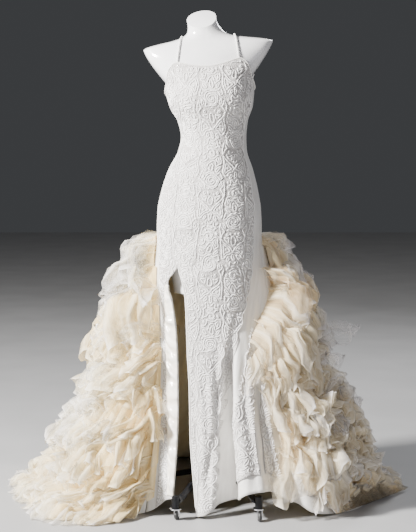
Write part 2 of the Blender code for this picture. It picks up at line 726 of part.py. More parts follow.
def solid_block(size, centre):
    """A box as a mesh of its own."""
    block = bmesh.new()
    bmesh.ops.create_cube(block, size=1.0)
    bmesh.ops.scale(block, vec=Vector(size), verts=block.verts)
    bmesh.ops.translate(block, vec=Vector(centre), verts=block.verts)
    return block


def solid_rod(radius, length, centre, sides, along_y=False):
    """A cylinder as a mesh of its own, along Z or Y."""
    rod = bmesh.new()
    bmesh.ops.create_cone(
        rod, cap_ends=True, segments=sides, radius1=radius, radius2=radius, depth=length)
    if along_y:
        bmesh.ops.rotate(rod, matrix=Matrix.Rotation(math.pi / 2.0, 3, "X"), verts=rod.verts)
    bmesh.ops.translate(rod, vec=Vector(centre), verts=rod.verts)
    return rod


def joined(name, solids, material, group, guides):
    """One mesh made of overlapping solids by Boolean unions."""
    things = []
    for index, solid in enumerate(solids):
        mesh = bpy.data.meshes.new(f"{name}_{index}")
        solid.to_mesh(mesh)
        solid.free()
        thing = bpy.data.objects.new(f"{name}_{index}", mesh)
        (guides if index else group).objects.link(thing)
        things.append(thing)
    base = things[0]
    for cutter in things[1:]:
        union = base.modifiers.new("union", "BOOLEAN")
        union.operation = "UNION"
        union.object = cutter
    shown = base.evaluated_get(bpy.context.evaluated_depsgraph_get())
    mesh = bpy.data.meshes.new_from_object(shown)
    mesh.name = name
    for thing in things:
        bpy.data.objects.remove(thing, do_unlink=True)
    mesh.materials.clear()
    mesh.materials.append(material)
    return mesh


def make_castors(group, guides, black, chrome):
    """Five castors: a socket on the leg, a chrome fork whose stem turns in it, and a wheel."""
    cheek_y = WHEEL_WIDTH / 2.0 + CHEEK_GAP + CHEEK / 2.0
    cheek_low = WHEEL_RADIUS - CHEEK_BELOW
    cheek_high = PLATE_LOW + PLATE_BITE
    cheek_size = (CHEEK_LENGTH, CHEEK, cheek_high - cheek_low)
    plate_middle = (PLATE_LOW + PLATE_HIGH) / 2.0
    stem_low = PLATE_HIGH - PLATE_BITE
    solids = [
        solid_rod(PLATE_RADIUS, PLATE_HIGH - PLATE_LOW, (0.0, 0.0, plate_middle), 24),
        solid_rod(STEM_RADIUS, STEM_TOP - stem_low, (0.0, 0.0, (STEM_TOP + stem_low) / 2.0), 12),
        solid_block(cheek_size, (TRAIL, cheek_y, (cheek_low + cheek_high) / 2.0)),
        solid_block(cheek_size, (TRAIL, -cheek_y, (cheek_low + cheek_high) / 2.0)),
        solid_rod(AXLE_RADIUS, 2.0 * cheek_y, (TRAIL, 0.0, WHEEL_RADIUS), 12, along_y=True),
    ]
    fork = joined("fork", solids, chrome, group, guides)
    half = WHEEL_WIDTH / 2.0
    tread = TREAD_WIDTH / 2.0
    section = [
        (WHEEL_BORE, half), (WHEEL_SHOULDER, half), (WHEEL_RADIUS, tread), (WHEEL_RADIUS, -tread),
        (WHEEL_SHOULDER, -half), (WHEEL_BORE, -half),
    ]
    bore = STEM_RADIUS + STEM_CLEARANCE
    roof = STEM_TOP + STEM_CLEARANCE
    socket = [
        (0.0, SOCKET_HIGH), (SOCKET_RADIUS - SOCKET_CHAMFER, SOCKET_HIGH),
        (SOCKET_RADIUS, SOCKET_HIGH - SOCKET_CHAMFER), (SOCKET_RADIUS, SOCKET_LOW), (bore, SOCKET_LOW),
        (bore, roof), (0.0, roof),
    ]
    for number, (station, heading) in enumerate(CASTORS, start=1):
        turn = math.radians(station)
        out = Vector((math.sin(turn), -math.cos(turn), 0.0))
        foot = Vector((POLE_X, AXIS_Y, 0.0)) + out * CASTOR_REACH
        turned(f"socket_{number}", socket, 12, black, group, foot)
        swivel = bpy.data.objects.new(f"swivel_{number}", None)
        group.objects.link(swivel)
        swivel.location = foot
        swivel.rotation_euler = (0.0, 0.0, math.radians(heading))
        carrier = add(f"fork_{number}", fork, chrome, group, smooth=False)
        carrier.parent = swivel
        wheel = turned(
            f"wheel_{number}", section, 24, black, group, (TRAIL, 0.0, WHEEL_RADIUS), ring=True)
        wheel.rotation_euler = (math.radians(90.0), 0.0, 0.0)
        wheel.parent = swivel


def main():
    clear_scene()
    group = collection("mermaid_dress")
    guides = collection("cutters")
    satin = finish("satin", (0.80, 0.78, 0.75), 0.35)
    lace = finish("lace", (0.84, 0.82, 0.79), 0.70)
    tulle = finish("tulle", (0.88, 0.80, 0.66), 0.80)
    gloss = finish("form_gloss", (0.86, 0.86, 0.85), 0.15)
    black = finish("stand_black", (0.015, 0.015, 0.015), 0.30)
    chrome = finish("chrome", (0.75, 0.75, 0.77), 0.12, 1.0)
    make_satin(group, satin)
    make_facing(group, satin)
    make_lace(group, lace)
    for name, side in (("strap_left", -1.0), ("strap_right", 1.0)):
        tube(name, strap_route(side), STRAP_RADIUS, lace, group)
    make_tulle(group, tulle)
    make_form(group, gloss)
    make_pole(group, black)
    make_legs(group, black)
    make_castors(group, guides, black, chrome)


main()
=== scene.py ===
# %% [markdown]
# # A mermaid evening dress on a dress form
# The CAD part gives every panel its place and size. This script gives the panels their looks:
# corded lace over satin, a cascade of gathered tulle, a glossy form and its castor stand.
# Each piece is first described as a dressmaker knows it, then made with Blender's tools.

# %% Load the frame
import math

import bmesh
import bpy
import numpy as np
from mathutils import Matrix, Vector


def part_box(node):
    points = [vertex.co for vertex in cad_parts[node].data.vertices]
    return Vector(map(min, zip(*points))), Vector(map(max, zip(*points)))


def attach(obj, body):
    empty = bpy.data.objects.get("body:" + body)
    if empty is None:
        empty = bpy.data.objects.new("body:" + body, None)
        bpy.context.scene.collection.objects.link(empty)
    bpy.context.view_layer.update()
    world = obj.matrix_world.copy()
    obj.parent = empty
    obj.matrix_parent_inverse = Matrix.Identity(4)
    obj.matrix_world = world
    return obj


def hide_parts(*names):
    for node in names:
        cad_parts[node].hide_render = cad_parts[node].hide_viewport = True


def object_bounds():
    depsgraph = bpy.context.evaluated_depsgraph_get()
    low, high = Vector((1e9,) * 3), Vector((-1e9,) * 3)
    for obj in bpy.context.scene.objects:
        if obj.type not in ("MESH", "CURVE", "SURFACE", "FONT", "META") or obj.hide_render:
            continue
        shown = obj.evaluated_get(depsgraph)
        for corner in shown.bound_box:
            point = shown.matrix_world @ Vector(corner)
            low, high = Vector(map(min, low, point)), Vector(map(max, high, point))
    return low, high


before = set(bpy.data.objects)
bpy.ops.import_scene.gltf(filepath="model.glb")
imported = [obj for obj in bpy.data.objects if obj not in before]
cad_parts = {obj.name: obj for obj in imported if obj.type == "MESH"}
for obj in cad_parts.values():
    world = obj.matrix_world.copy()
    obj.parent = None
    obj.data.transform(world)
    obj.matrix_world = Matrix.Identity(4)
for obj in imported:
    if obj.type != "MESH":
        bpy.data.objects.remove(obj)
cad_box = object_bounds()
BODY = "dress_and_stand"
low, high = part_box("pole")
AXIS_X, AXIS_Y = (low.x + high.x) / 2.0, (low.y + high.y) / 2.0
print("pole at", round(AXIS_X, 4), round(AXIS_Y, 4), "and", len(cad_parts), "nodes")

# %% [markdown]
# ## The cut of the dress
# A dressmaker works from girths at named heights. These tables hold them: the figure, the foot
# of each fold of the skirt, the outside of the tulle, and the lines that the panels are cut
# along. Angles go round the body in degrees: 0 is the front, +90 is towards +X and 180 is the
# centre back. A table is easier to alter than a finished mesh, as a paper pattern is.

# %% Tables of the cut
SATIN, LACE, LACE_GAP = 0.0012, 0.0011, 0.0007
FIGURE = (
    # height, centre_x, half_width, front_depth, back_depth
    (0.000, 0.0040, 0.1350, 0.104, 0.085), (0.300, 0.0040, 0.1400, 0.106, 0.088),
    (0.500, 0.0045, 0.1470, 0.109, 0.098), (0.630, 0.0055, 0.1560, 0.112, 0.114),
    (0.750, 0.0055, 0.1635, 0.114, 0.130), (0.880, 0.0040, 0.1640, 0.112, 0.141),
    (0.945, 0.0040, 0.1615, 0.108, 0.138), (1.005, 0.0055, 0.1505, 0.103, 0.121),
    (1.070, 0.0085, 0.1315, 0.097, 0.098), (1.130, 0.0145, 0.1065, 0.093, 0.083),
    (1.170, 0.0175, 0.1015, 0.092, 0.080), (1.220, 0.0150, 0.1090, 0.097, 0.085),
    (1.260, 0.0115, 0.1270, 0.102, 0.092), (1.315, 0.0060, 0.1380, 0.104, 0.098),
    (1.340, 0.0040, 0.1440, 0.101, 0.099), (1.370, 0.0020, 0.1680, 0.096, 0.098),
    (1.400, 0.0010, 0.1950, 0.088, 0.094), (1.430, 0.0010, 0.2130, 0.076, 0.086),
    (1.450, 0.0010, 0.2150, 0.062, 0.076), (1.462, 0.0000, 0.1750, 0.054, 0.068),
    (1.470, -0.002, 0.1230, 0.051, 0.062), (1.480, -0.005, 0.0800, 0.050, 0.057),
    (1.495, -0.009, 0.0590, 0.050, 0.051), (1.520, -0.017, 0.0500, 0.052, 0.045),
    (1.600, -0.030, 0.0480, 0.056, 0.038),
)
BUST_ANGLE, BUST_HEIGHT, BUST_RISE = 29.0, 1.287, 0.020
BUST_SPREAD_ANGLE, BUST_SPREAD_HEIGHT = 21.0, 0.045
SHOULDER_TILT, TILT_FROM, TILT_TO = 0.070, 1.17, 1.34
SKIRT_ROWS = 11
LIE = 2.0 / SKIRT_ROWS
SKIRT = (
    # angle, start_height, foot_x, foot_y, foot_z, spread, curl, lie
    (-180, 0.86, 0.000, 0.800, SATIN, 1.0, 2.0, LIE),
    (-165, 0.86, -0.190, 0.765, SATIN, 1.0, 1.95, LIE),
    (-150, 0.86, -0.370, 0.665, SATIN, 1.0, 1.9, LIE),
    (-135, 0.86, -0.520, 0.490, SATIN, 1.0, 1.7, LIE),
    (-120, 0.86, -0.585, 0.270, SATIN, 1.0, 1.55, LIE),
    (-108, 0.86, -0.515, 0.020, SATIN, 1.0, 1.5, LIE),
    (-96, 0.86, -0.400, -0.140, SATIN, 1.05, 1.5, LIE),
    (-86, 0.84, -0.275, -0.140, SATIN, 1.2, 1.35, LIE),
    (-79, 0.76, -0.195, -0.105, 0.006, 1.4, 1.1, 0.0),
    (-68, 0.62, -0.152, -0.105, 0.028, 1.6, 1.0, 0.0),
    (-56, 0.55, -0.128, -0.118, 0.050, 1.6, 1.0, 0.0),
    (-36, 0.55, -0.100, -0.135, 0.056, 1.6, 1.0, 0.0),
    (-20, 0.55, -0.040, -0.150, 0.006, 1.8, 1.0, 0.0),
    (-8, 0.55, -0.012, -0.168, 0.012, 1.8, 1.0, 0.0),
    (3, 0.55, 0.012, -0.160, 0.026, 1.8, 1.0, 0.0),
    (13, 0.55, 0.036, -0.118, 0.036, 1.6, 1.0, 0.0),
    (22, 0.60, 0.064, -0.130, 0.050, 1.5, 1.0, 0.0),
    (30, 0.62, 0.092, -0.182, 0.066, 1.5, 1.0, 0.0),
    (38, 0.66, 0.126, -0.208, 0.090, 1.5, 1.0, 0.0),
    (45, 0.68, 0.164, -0.206, 0.096, 1.5, 1.0, 0.0),
    (52, 0.70, 0.198, -0.154, 0.084, 1.5, 1.0, 0.0),
    (58, 0.72, 0.237, -0.166, 0.064, 1.45, 1.0, 0.0),
    (65, 0.75, 0.278, -0.125, 0.040, 1.4, 1.0, 0.0),
    (72, 0.78, 0.326, -0.148, 0.016, 1.3, 1.1, 0.0),
    (79, 0.82, 0.395, -0.112, 0.005, 1.2, 1.2, 0.0),
    (88, 0.86, 0.480, -0.030, SATIN, 1.1, 1.3, LIE),
    (100, 0.86, 0.535, 0.100, SATIN, 1.0, 1.3, LIE),
    (115, 0.86, 0.565, 0.290, SATIN, 1.0, 1.4, LIE),
    (135, 0.86, 0.500, 0.510, SATIN, 1.0, 1.7, LIE),
    (150, 0.86, 0.360, 0.675, SATIN, 1.0, 1.9, LIE),
    (165, 0.86, 0.190, 0.765, SATIN, 1.0, 1.95, LIE),
    (180, 0.86, 0.000, 0.800, SATIN, 1.0, 2.0, LIE),
)
PLUME_RISE, PLUME_FOOT = 0.030, 0.0023
PLUME = (
    # angle, start_out, foot_x, foot_y, spread, curl
    (-180, 0.070, 0.000, 0.890, 1.0, 1.7), (-165, 0.070, -0.225, 0.860, 1.0, 1.7),
    (-150, 0.080, -0.440, 0.760, 1.0, 1.6), (-135, 0.095, -0.610, 0.570, 1.0, 1.5),
    (-120, 0.110, -0.668, 0.320, 1.0, 1.4), (-108, 0.115, -0.605, 0.020, 1.0, 1.35),
    (-96, 0.110, -0.480, -0.215, 1.1, 1.3), (-86, 0.075, -0.345, -0.225, 1.2, 1.15),
    (-79, 0.055, -0.255, -0.170, 1.2, 1.0), (-68, 0.042, -0.190, -0.165, 1.2, 1.0),
    (-36, 0.020, -0.105, -0.165, 1.4, 1.0), (30, 0.020, 0.105, -0.215, 1.4, 1.0),
    (45, 0.040, 0.190, -0.245, 1.2, 1.0), (58, 0.045, 0.275, -0.215, 1.2, 1.0),
    (68, 0.048, 0.355, -0.195, 1.1, 1.0), (79, 0.055, 0.455, -0.175, 1.0, 1.0),
    (88, 0.062, 0.560, -0.080, 1.0, 1.0), (100, 0.068, 0.625, 0.080, 1.0, 1.0),
    (115, 0.070, 0.660, 0.310, 1.0, 1.2), (135, 0.070, 0.590, 0.570, 1.0, 1.5),
    (150, 0.070, 0.430, 0.760, 1.0, 1.6), (165, 0.070, 0.225, 0.860, 1.0, 1.7),
    (180, 0.070, 0.000, 0.890, 1.0, 1.7),
)
NECKLINE = (
    # angle, height
    (-180, 1.290), (-150, 1.295), (-120, 1.302), (-90, 1.312), (-75, 1.324), (-62, 1.343),
    (-50, 1.364), (-40, 1.386), (-29, 1.402), (-14, 1.390), (0, 1.384), (14, 1.390), (29, 1.402),
    (40, 1.386), (50, 1.364), (62, 1.343), (75, 1.324), (90, 1.312), (120, 1.302), (150, 1.295),
    (180, 1.290),
)
SLIT_FRONT_EDGE = (
    # height, angle
    (0.00, -18.0), (0.10, -21.0), (0.25, -24.5), (0.40, -25.5), (0.55, -27.5), (0.67, -28.0),
    (0.724, -31.0), (0.776, -36.0), (1.45, -36.0),
)
SLIT_FOLD = (
    # height, angle
    (0.00, -42.0), (0.25, -40.0), (0.40, -41.5), (0.58, -43.5), (0.67, -48.0), (0.705, -52.5),
    (0.728, -51.5), (0.752, -43.0), (0.776, -36.0), (1.45, -36.0),
)
FACING_EDGE = (
    # height, angle
    (0.00, -54.0), (0.20, -58.0), (0.40, -65.0), (0.55, -64.5), (0.66, -60.5), (0.702, -58.5),
    (0.728, -52.8),
)
FACING_HIGH, FACING_LOW = 0.728, 0.064
LACE_EDGE = (
    # height, angle
    (0.00, 3.0), (0.15, 4.0), (0.30, 9.0), (0.37, 15.0), (0.45, 21.0), (0.53, 29.0), (0.60, 38.0),
    (0.70, 47.0), (0.86, 55.0), (1.10, 60.0), (1.22, 62.0), (1.45, 62.0),
)
LACE_SIDE_EDGE, SIDE_SEAM = -72.0, 79.0
PANEL_ROWS = (
    0.0, 0.06, 0.123, 0.18, 0.26, 0.34, 0.42, 0.51, 0.60, 0.67, 0.725, 0.79, 0.84, 0.91, 1.0,
)
ROUGH_HEIGHT, SEAM_TURN = 0.50, 0.20
TIERS = (
    # top_height, bottom_height, left_angle, right_angle
    (0.862, 0.640, -84.0, 84.0), (0.765, 0.510, -78.0, 80.0), (0.645, 0.390, -73.0, 66.0),
    (0.515, 0.265, -70.0, 53.0), (0.385, 0.145, -68.0, 56.0), (0.255, 0.065, -69.0, 62.0),
    (0.125, 0.000, -80.0, 70.0),
)
print(len(FIGURE), "girths,", len(SKIRT), "folds of the skirt and", len(TIERS), "tiers of tulle")

# %% [markdown]
# ## Reading the tables
# A pattern is graded smoothly from one measured line to the next. The curve between two rows is
# a cubic that never overshoots them, so no bump appears that the maker didn't ask for. NumPy
# reads thousands of points at once, which keeps a fine mesh as quick as a coarse one.

# %% Smooth reading
def between(rows, keys):
    """The values of a table at many keys, one column for each value."""
    table = np.array(rows, float)
    marks, values = table[:, 0], table[:, 1:]
    span = np.diff(marks)[:, None]
    rise = np.diff(values, axis=0) / span
    product, total = rise[:-1] * rise[1:], rise[:-1] + rise[1:]
    inner = np.where(product > 0.0, 2.0 * product / np.where(total == 0.0, 1.0, total), 0.0)
    slope = np.vstack([rise[:1], inner, rise[-1:]])
    keys = np.asarray(keys, float)
    index = np.clip(np.searchsorted(marks, keys, side="right") - 1, 0, len(marks) - 2)
    width = span[index]
    part = np.clip((keys[..., None] - marks[index][..., None]) / width, 0.0, 1.0)
    square, cube = part ** 2, part ** 3
    return (values[index] * (2.0 * cube - 3.0 * square + 1.0)
            + slope[index] * width * (cube - 2.0 * square + part)
            + values[index + 1] * (3.0 * square - 2.0 * cube)
            + slope[index + 1] * width * (cube - square))


def mix(start, end, part):
    """Straight blend."""
    return start * (1.0 - part) + end * part


def ramp(value, low_end, high_end):
    """0 below low_end, 1 above high_end and smooth between."""
    part = np.clip((value - low_end) / (high_end - low_end), 0.0, 1.0)
    return part * part * (3.0 - 2.0 * part)


def row_of(x, y, z):
    """Points from their coordinates, moved to the body's axis."""
    x, y, z = np.broadcast_arrays(x, y, z)
    return np.stack([x, y + AXIS_Y, z], axis=-1)


def first_of(rows, key):
    """The first value of a table at a key."""
    return between(rows, key)[..., 0]


def run_along(points):
    """Length of a line from its first point to each point."""
    return np.concatenate([[0.0], np.cumsum(np.linalg.norm(np.diff(points, axis=0), axis=-1))])


print("waist half width", between(FIGURE, np.array([1.17]))[0, 1])

# %% [markdown]
# ## The surfaces of the dress
# Down to the hips the cloth follows the figure. Below, each fold leaves the body and falls to
# its own foot on or near the floor. The tulle has an outside of its own, further out. Every
# piece reads the same surfaces, so lace, satin and tulle can't drift apart.

# %% Surfaces
def body(angle, height, lift=0.0, bust=1.0):
    """Points of the fitted body, lifted off it."""
    centre_x, half_width, front, back = np.moveaxis(between(FIGURE, height), -1, 0)
    side, ahead = np.sin(np.radians(angle)), np.cos(np.radians(angle))
    depth = np.where(ahead > 0.0, front, back)
    for bust_angle in (-BUST_ANGLE, BUST_ANGLE):
        across = (angle - bust_angle) / BUST_SPREAD_ANGLE
        along = (height - BUST_HEIGHT) / BUST_SPREAD_HEIGHT
        lift = lift + bust * BUST_RISE * np.exp(-0.5 * (across ** 2 + along ** 2))
    x = centre_x + (half_width + lift) * side
    y = -(depth + lift) * ahead
    return row_of(x, y, height + SHOULDER_TILT * x * ramp(height, TILT_FROM, TILT_TO))


def fall(start, foot, curl, lie, step):
    """Height at a step down the skirt."""
    return foot + (start - foot) * (1.0 - np.minimum(step / (1.0 - lie), 1.0)) ** curl


def dress(angle, step):
    """Points of the dress: steps below 0 climb the body, 1 is the hem."""
    angle, step = np.broadcast_arrays(np.asarray(angle, float), np.asarray(step, float))
    start, foot_x, foot_y, foot_z, spread, curl, lie = np.moveaxis(between(SKIRT, angle), -1, 0)
    down = np.clip(step, 0.0, 1.0)
    height = np.where(step > 0.0, fall(start, foot_z, curl, lie, down), start - step)
    on_body = body(angle, height)
    foot = row_of(foot_x, foot_y, height)
    return mix(on_body, foot, (down ** spread)[..., None])


def step_at(angle, height):
    """Step down the skirt at a height."""
    angle, height = np.broadcast_arrays(np.asarray(angle, float), np.asarray(height, float))
    start, _, _, foot_z, _, curl, lie = np.moveaxis(between(SKIRT, angle), -1, 0)
    share = np.clip((height - foot_z) / (start - foot_z), 0.0, 1.0)
    along = np.where(height <= foot_z, 1.0, (1.0 - share ** (1.0 / curl)) * (1.0 - lie))
    return np.where(height >= start, start - height, along)


def plume(angle, step):
    """Points of the tulle's outside beside the same step of the skirt."""
    angle, step = np.broadcast_arrays(np.asarray(angle, float), np.asarray(step, float))
    start_out, foot_x, foot_y, spread, curl = np.moveaxis(between(PLUME, angle), -1, 0)
    start = first_of(SKIRT, angle) + PLUME_RISE
    down = np.clip(step, 0.0, 1.0)
    height = np.where(step > 0.0, fall(start, PLUME_FOOT, curl, 0.0, down), start - step)
    return mix(body(angle, height, start_out), row_of(foot_x, foot_y, height),
               np.where(step > 0.0, down ** spread, 0.0)[..., None])


def unit(vectors):
    """Vectors of length 1."""
    return vectors / np.maximum(np.linalg.norm(vectors, axis=-1, keepdims=True), 1e-12)


def way_out(angle, step):
    """Direction out of the cloth."""
    near = np.minimum(step + 0.01, 1.0)
    across = dress(angle + 0.5, step) - dress(angle - 0.5, step)
    up = dress(angle, near - 0.02) - dress(angle, near)
    return unit(np.cross(across, up))


print("hem at the centre back", dress(180.0, 1.0).round(3))

# %% [markdown]
# ## Creases
# Fitted lace drags a little where the body turns, and the satin of the train falls in soft
# folds. Each crease is a row of a table: a line from one point to another with a width and a
# depth. The relief is added along the way out of the cloth, the same for the satin and for the
# lace on it. Placing creases one by one keeps them uneven, as they are on a worn garment.

# %% Creases and pressed lines
METRES_PER_DEGREE = 0.0026
CREASES = (
    # angle_1, height_1, angle_2, height_2, width, depth
    (-62, 1.250, -20, 1.235, 0.010, -0.0012), (-58, 1.205, -25, 1.190, 0.012, 0.0016),
    (20, 1.222, 62, 1.238, 0.011, -0.0013), (30, 1.190, 60, 1.182, 0.010, 0.0014),
    (-55, 1.150, -15, 1.140, 0.012, -0.0012), (5, 1.132, 50, 1.142, 0.013, 0.0015),
    (-64, 1.085, -30, 1.100, 0.012, 0.0014), (-40, 1.020, -8, 0.985, 0.018, -0.0014),
    (-36, 0.900, -6, 0.930, 0.020, 0.0022), (-34, 0.850, 4, 0.895, 0.018, -0.0016),
    (-34, 0.815, 22, 0.860, 0.016, 0.0020), (-32, 0.770, 12, 0.790, 0.020, -0.0016),
    (-28, 0.735, 26, 0.790, 0.017, 0.0022), (-26, 0.700, 18, 0.715, 0.022, -0.0016),
    (34, 0.840, 50, 0.740, 0.016, 0.0020), (44, 0.960, 58, 0.850, 0.020, -0.0016),
    (-24, 0.520, -14, 0.380, 0.016, 0.0026), (-16, 0.460, -12, 0.250, 0.014, -0.0020),
    (-22, 0.300, -17, 0.120, 0.016, 0.0030), (-8, 0.380, -6, 0.180, 0.018, 0.0034),
    (-3, 0.300, -3, 0.090, 0.012, -0.0022), (0, 0.520, 2, 0.300, 0.018, 0.0026),
    (-68, 1.020, -50, 0.930, 0.016, -0.0014), (-70, 0.860, -48, 0.800, 0.018, 0.0020),
    (16, 0.560, 10, 0.180, 0.012, 0.0052), (9, 0.500, 6, 0.200, 0.010, -0.0038),
    (22, 0.600, 15, 0.300, 0.010, 0.0040), (3, 0.440, 1, 0.120, 0.011, 0.0044),
    (-12, 0.480, -9, 0.140, 0.012, 0.0036), (34, 0.560, 38, 0.330, 0.020, 0.0036),
    (42, 0.520, 45, 0.270, 0.018, -0.0030),
    (49, 0.560, 53, 0.300, 0.022, 0.0040), (58, 0.560, 63, 0.300, 0.022, 0.0040),
    (68, 0.600, 75, 0.340, 0.026, -0.0030), (72, 0.760, 76, 0.560, 0.020, 0.0026),
    (22, 0.500, -4, 0.130, 0.010, -0.0080), (19, 0.520, 13, 0.320, 0.010, 0.0080),
    (13, 0.360, 4, 0.060, 0.012, 0.0110), (25, 0.520, 21, 0.320, 0.013, -0.0130),
    (24, 0.470, 23, 0.020, 0.011, -0.0400), (19, 0.430, 18, 0.030, 0.012, -0.0150),
    (35, 0.500, 33, 0.060, 0.016, 0.0100), (41, 0.440, 42, 0.110, 0.011, -0.0080),
    (48, 0.460, 49, 0.110, 0.012, 0.0060), (55, 0.440, 56, 0.100, 0.011, -0.0080),
    (61, 0.420, 63, 0.080, 0.013, 0.0060),
)
SEAM_LINES = (
    # angle_1, height_1, angle_2, height_2, width, depth
    (-57, 1.348, -44, 1.292, 0.0022, -0.0009), (57, 1.348, 46, 1.235, 0.0022, -0.0009),
    (46, 1.235, 44, 1.165, 0.0022, -0.0007), (-28, 1.250, -24, 1.090, 0.0020, -0.0005),
    (28, 1.250, 24, 1.090, 0.0020, -0.0005), (150, 1.250, 155, 1.040, 0.0020, -0.0009),
    (-150, 1.250, -155, 1.040, 0.0020, -0.0009),
)
FADE = 0.18


def groove(angle, height, rows):
    """Relief of a table of creases, in metres out of the cloth."""
    total = np.zeros(np.broadcast(angle, height).shape)
    for angle_1, height_1, angle_2, height_2, width, depth in rows:
        along_x, along_y = (angle_2 - angle_1) * METRES_PER_DEGREE, height_2 - height_1
        x, y = (angle - angle_1) * METRES_PER_DEGREE, height - height_1
        long = math.hypot(along_x, along_y)
        part = (x * along_x + y * along_y) / long ** 2
        away = (x * along_y - y * along_x) / long
        bend = 0.35 * width * np.sin(math.tau * part)
        fade = ramp(part, -FADE, FADE) * (1.0 - ramp(part, 1.0 - FADE, 1.0 + FADE))
        total += depth * fade * np.exp(-((away - bend) / width) ** 2)
    return total


BACK_FOLDS = (
    # angle, width_degrees, high, depth
    (-172, 4.0, 0.80, 0.010), (-163, 3.0, 0.66, -0.008), (-155, 4.0, 0.86, 0.012),
    (-146, 3.0, 0.70, -0.008), (-137, 4.5, 0.78, 0.012), (-127, 3.0, 0.62, -0.008),
    (-118, 4.0, 0.74, 0.010), (-108, 3.5, 0.80, -0.006), (-97, 4.0, 0.66, 0.008),
    (171, 3.5, 0.74, 0.010), (162, 3.0, 0.82, -0.008), (153, 4.5, 0.68, 0.012),
    (144, 3.0, 0.76, -0.008), (134, 4.0, 0.84, 0.011), (124, 3.5, 0.64, -0.008),
    (114, 4.0, 0.78, 0.010), (105, 3.0, 0.70, -0.007), (96, 3.5, 0.74, 0.008),
)


def relief(angle, height, step):
    """All relief of the cloth. It fades on the floor, where the cloth is pressed flat."""
    total = groove(angle, height, CREASES) + groove(angle, height, SEAM_LINES)
    for middle, width, high_end, depth in BACK_FOLDS:
        swell = ramp(high_end - height, 0.0, 0.30) * ramp(1.0 - LIE - step, 0.0, 0.12)
        total += depth * swell * np.exp(-((angle - middle) / width) ** 2)
    return total


def cloth_point(angle, step, lift=0.0):
    """Points of the creased cloth, lifted off it."""
    flat = dress(angle, step)
    out = way_out(angle, step)
    return flat + out * (lift + relief(angle, flat[..., 2], step))[..., None]


print(len(CREASES), "creases,", len(SEAM_LINES), "darts and seams,",
      len(BACK_FOLDS), "folds behind")

# %% [markdown]
# ## Making a sheet of cloth
# Cloth is a flat grid that is bent to its place, as a cut piece is on the stand. create_grid
# makes it, and its points are moved by a placing function. Solidify gives the satin and the
# lace's net a wall, and the tulle stays one layer. The UV map holds metres across and down, so
# that a weave keeps its scale on every panel.

# %% Sheets
def grids_mesh(name, sizes, places):
    """One mesh from many grids, each moved by its own placing function, place(across, up)."""
    sheet = bmesh.new()
    ends = [0]
    for columns, rows in sizes:
        bmesh.ops.create_grid(
            sheet, x_segments=columns, y_segments=rows, size=0.5, calc_uvs=False)
        ends.append(len(sheet.verts))
    mesh = bpy.data.meshes.new(name)
    sheet.to_mesh(mesh)
    sheet.free()
    flat = np.zeros(len(mesh.vertices) * 3, np.float32)
    mesh.vertices.foreach_get("co", flat)
    share = flat.reshape(-1, 3)[:, :2].astype(float) + 0.5
    points, paint = np.zeros((len(share), 3)), {}
    for place, first, last in zip(places, ends[:-1], ends[1:]):
        part, values_of = place(share[first:last, 0], share[first:last, 1])
        points[first:last] = part
        for label, values in values_of.items():
            shape = (len(share), 2) if label == "uv" else len(share)
            paint.setdefault(label, np.zeros(shape))[first:last] = values
    mesh.vertices.foreach_set("co", points.astype(np.float32).ravel())
    corner = np.zeros(len(mesh.loops), np.int32)
    mesh.loops.foreach_get("vertex_index", corner)
    layer = mesh.uv_layers.new(name="cloth")
    layer.data.foreach_set("uv", paint.pop("uv")[corner].astype(np.float32).ravel())
    for label, values in paint.items():
        stored = mesh.attributes.new(label, "FLOAT", "POINT")
        stored.data.foreach_set("value", values.astype(np.float32))
    mesh.shade_smooth()
    mesh.update()
    return mesh


def grid_mesh(name, columns, rows, place):
    """One grid as a mesh."""
    return grids_mesh(name, [(columns, rows)], [place])


def new_object(name, mesh, material):
    """A piece of the model."""
    thing = bpy.data.objects.new(name, mesh)
    bpy.context.scene.collection.objects.link(thing)
    mesh.materials.clear()
    mesh.materials.append(material)
    return thing


def area_of(mesh):
    """Area of a mesh's faces in square metres."""
    return sum(face.area for face in mesh.polygons)


def wear(thing, slot, *nodes):
    """A finished piece rides its body and stands for its CAD nodes; its slot is not used."""
    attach(thing, BODY)
    if nodes:
        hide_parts(*nodes)
    return thing


def walled(mesh, material, thickness, slot, cad_name):
    """A sheet with a wall inwards from its outer face, which stands for a CAD node."""
    thing = new_object(mesh.name, mesh, material)
    wall = thing.modifiers.new("wall", "SOLIDIFY")
    wall.thickness = thickness
    wall.offset = -1.0
    wall.use_quality_normals = True
    return wear(thing, slot, cad_name)


print("sheets are grids with a UV map in metres")

# %% [markdown]
# ## Finishes
# The satin is smooth and has a soft long highlight. The corded lace is matt, with a net ground
# between its cords that lets the satin show; the ground is darkened with painted shade between the
# cords and along the rifts between motifs. The tulle is a fine net: light goes through it, its
# edges look white and its depths are painted cream and tan as painted shade. Each finish is a small
# node tree on the Principled shader, and the tulle adds a Translucent one, because light behind it
# counts.

# %% Finishes
def finish(name, colour, roughness, metallic=0.0, sheen=0.0, coat=0.0):
    """A Principled material and its shader."""
    material = bpy.data.materials.new(name)
    material.use_nodes = True
    shader = material.node_tree.nodes["Principled BSDF"]
    shader.inputs["Base Color"].default_value = (*colour, 1.0)
    shader.inputs["Roughness"].default_value = roughness
    shader.inputs["Metallic"].default_value = metallic
    shader.inputs["Sheen Weight"].default_value = sheen
    shader.inputs["Coat Weight"].default_value = coat
    return material, shader


def node(material, kind, **settings):
    """A node of a material, with its settings and unlinked inputs."""
    made = material.node_tree.nodes.new("ShaderNode" + kind)
    for key, value in settings.items():
        if key.startswith("in_"):
            made.inputs[key[3:].replace("_", " ")].default_value = value
        else:
            setattr(made, key, value)
    return made


def link(material, start, end):
    """A link between two sockets."""
    material.node_tree.links.new(start, end)


def pattern_place(material, scale):
    """Coordinates of a pattern on the cloth, scaled each way."""
    source = node(material, "UVMap", uv_map="cloth")
    mapping = node(material, "Mapping", in_Scale=scale)
    link(material, source.outputs["UV"], mapping.inputs["Vector"])
    return mapping.outputs["Vector"]


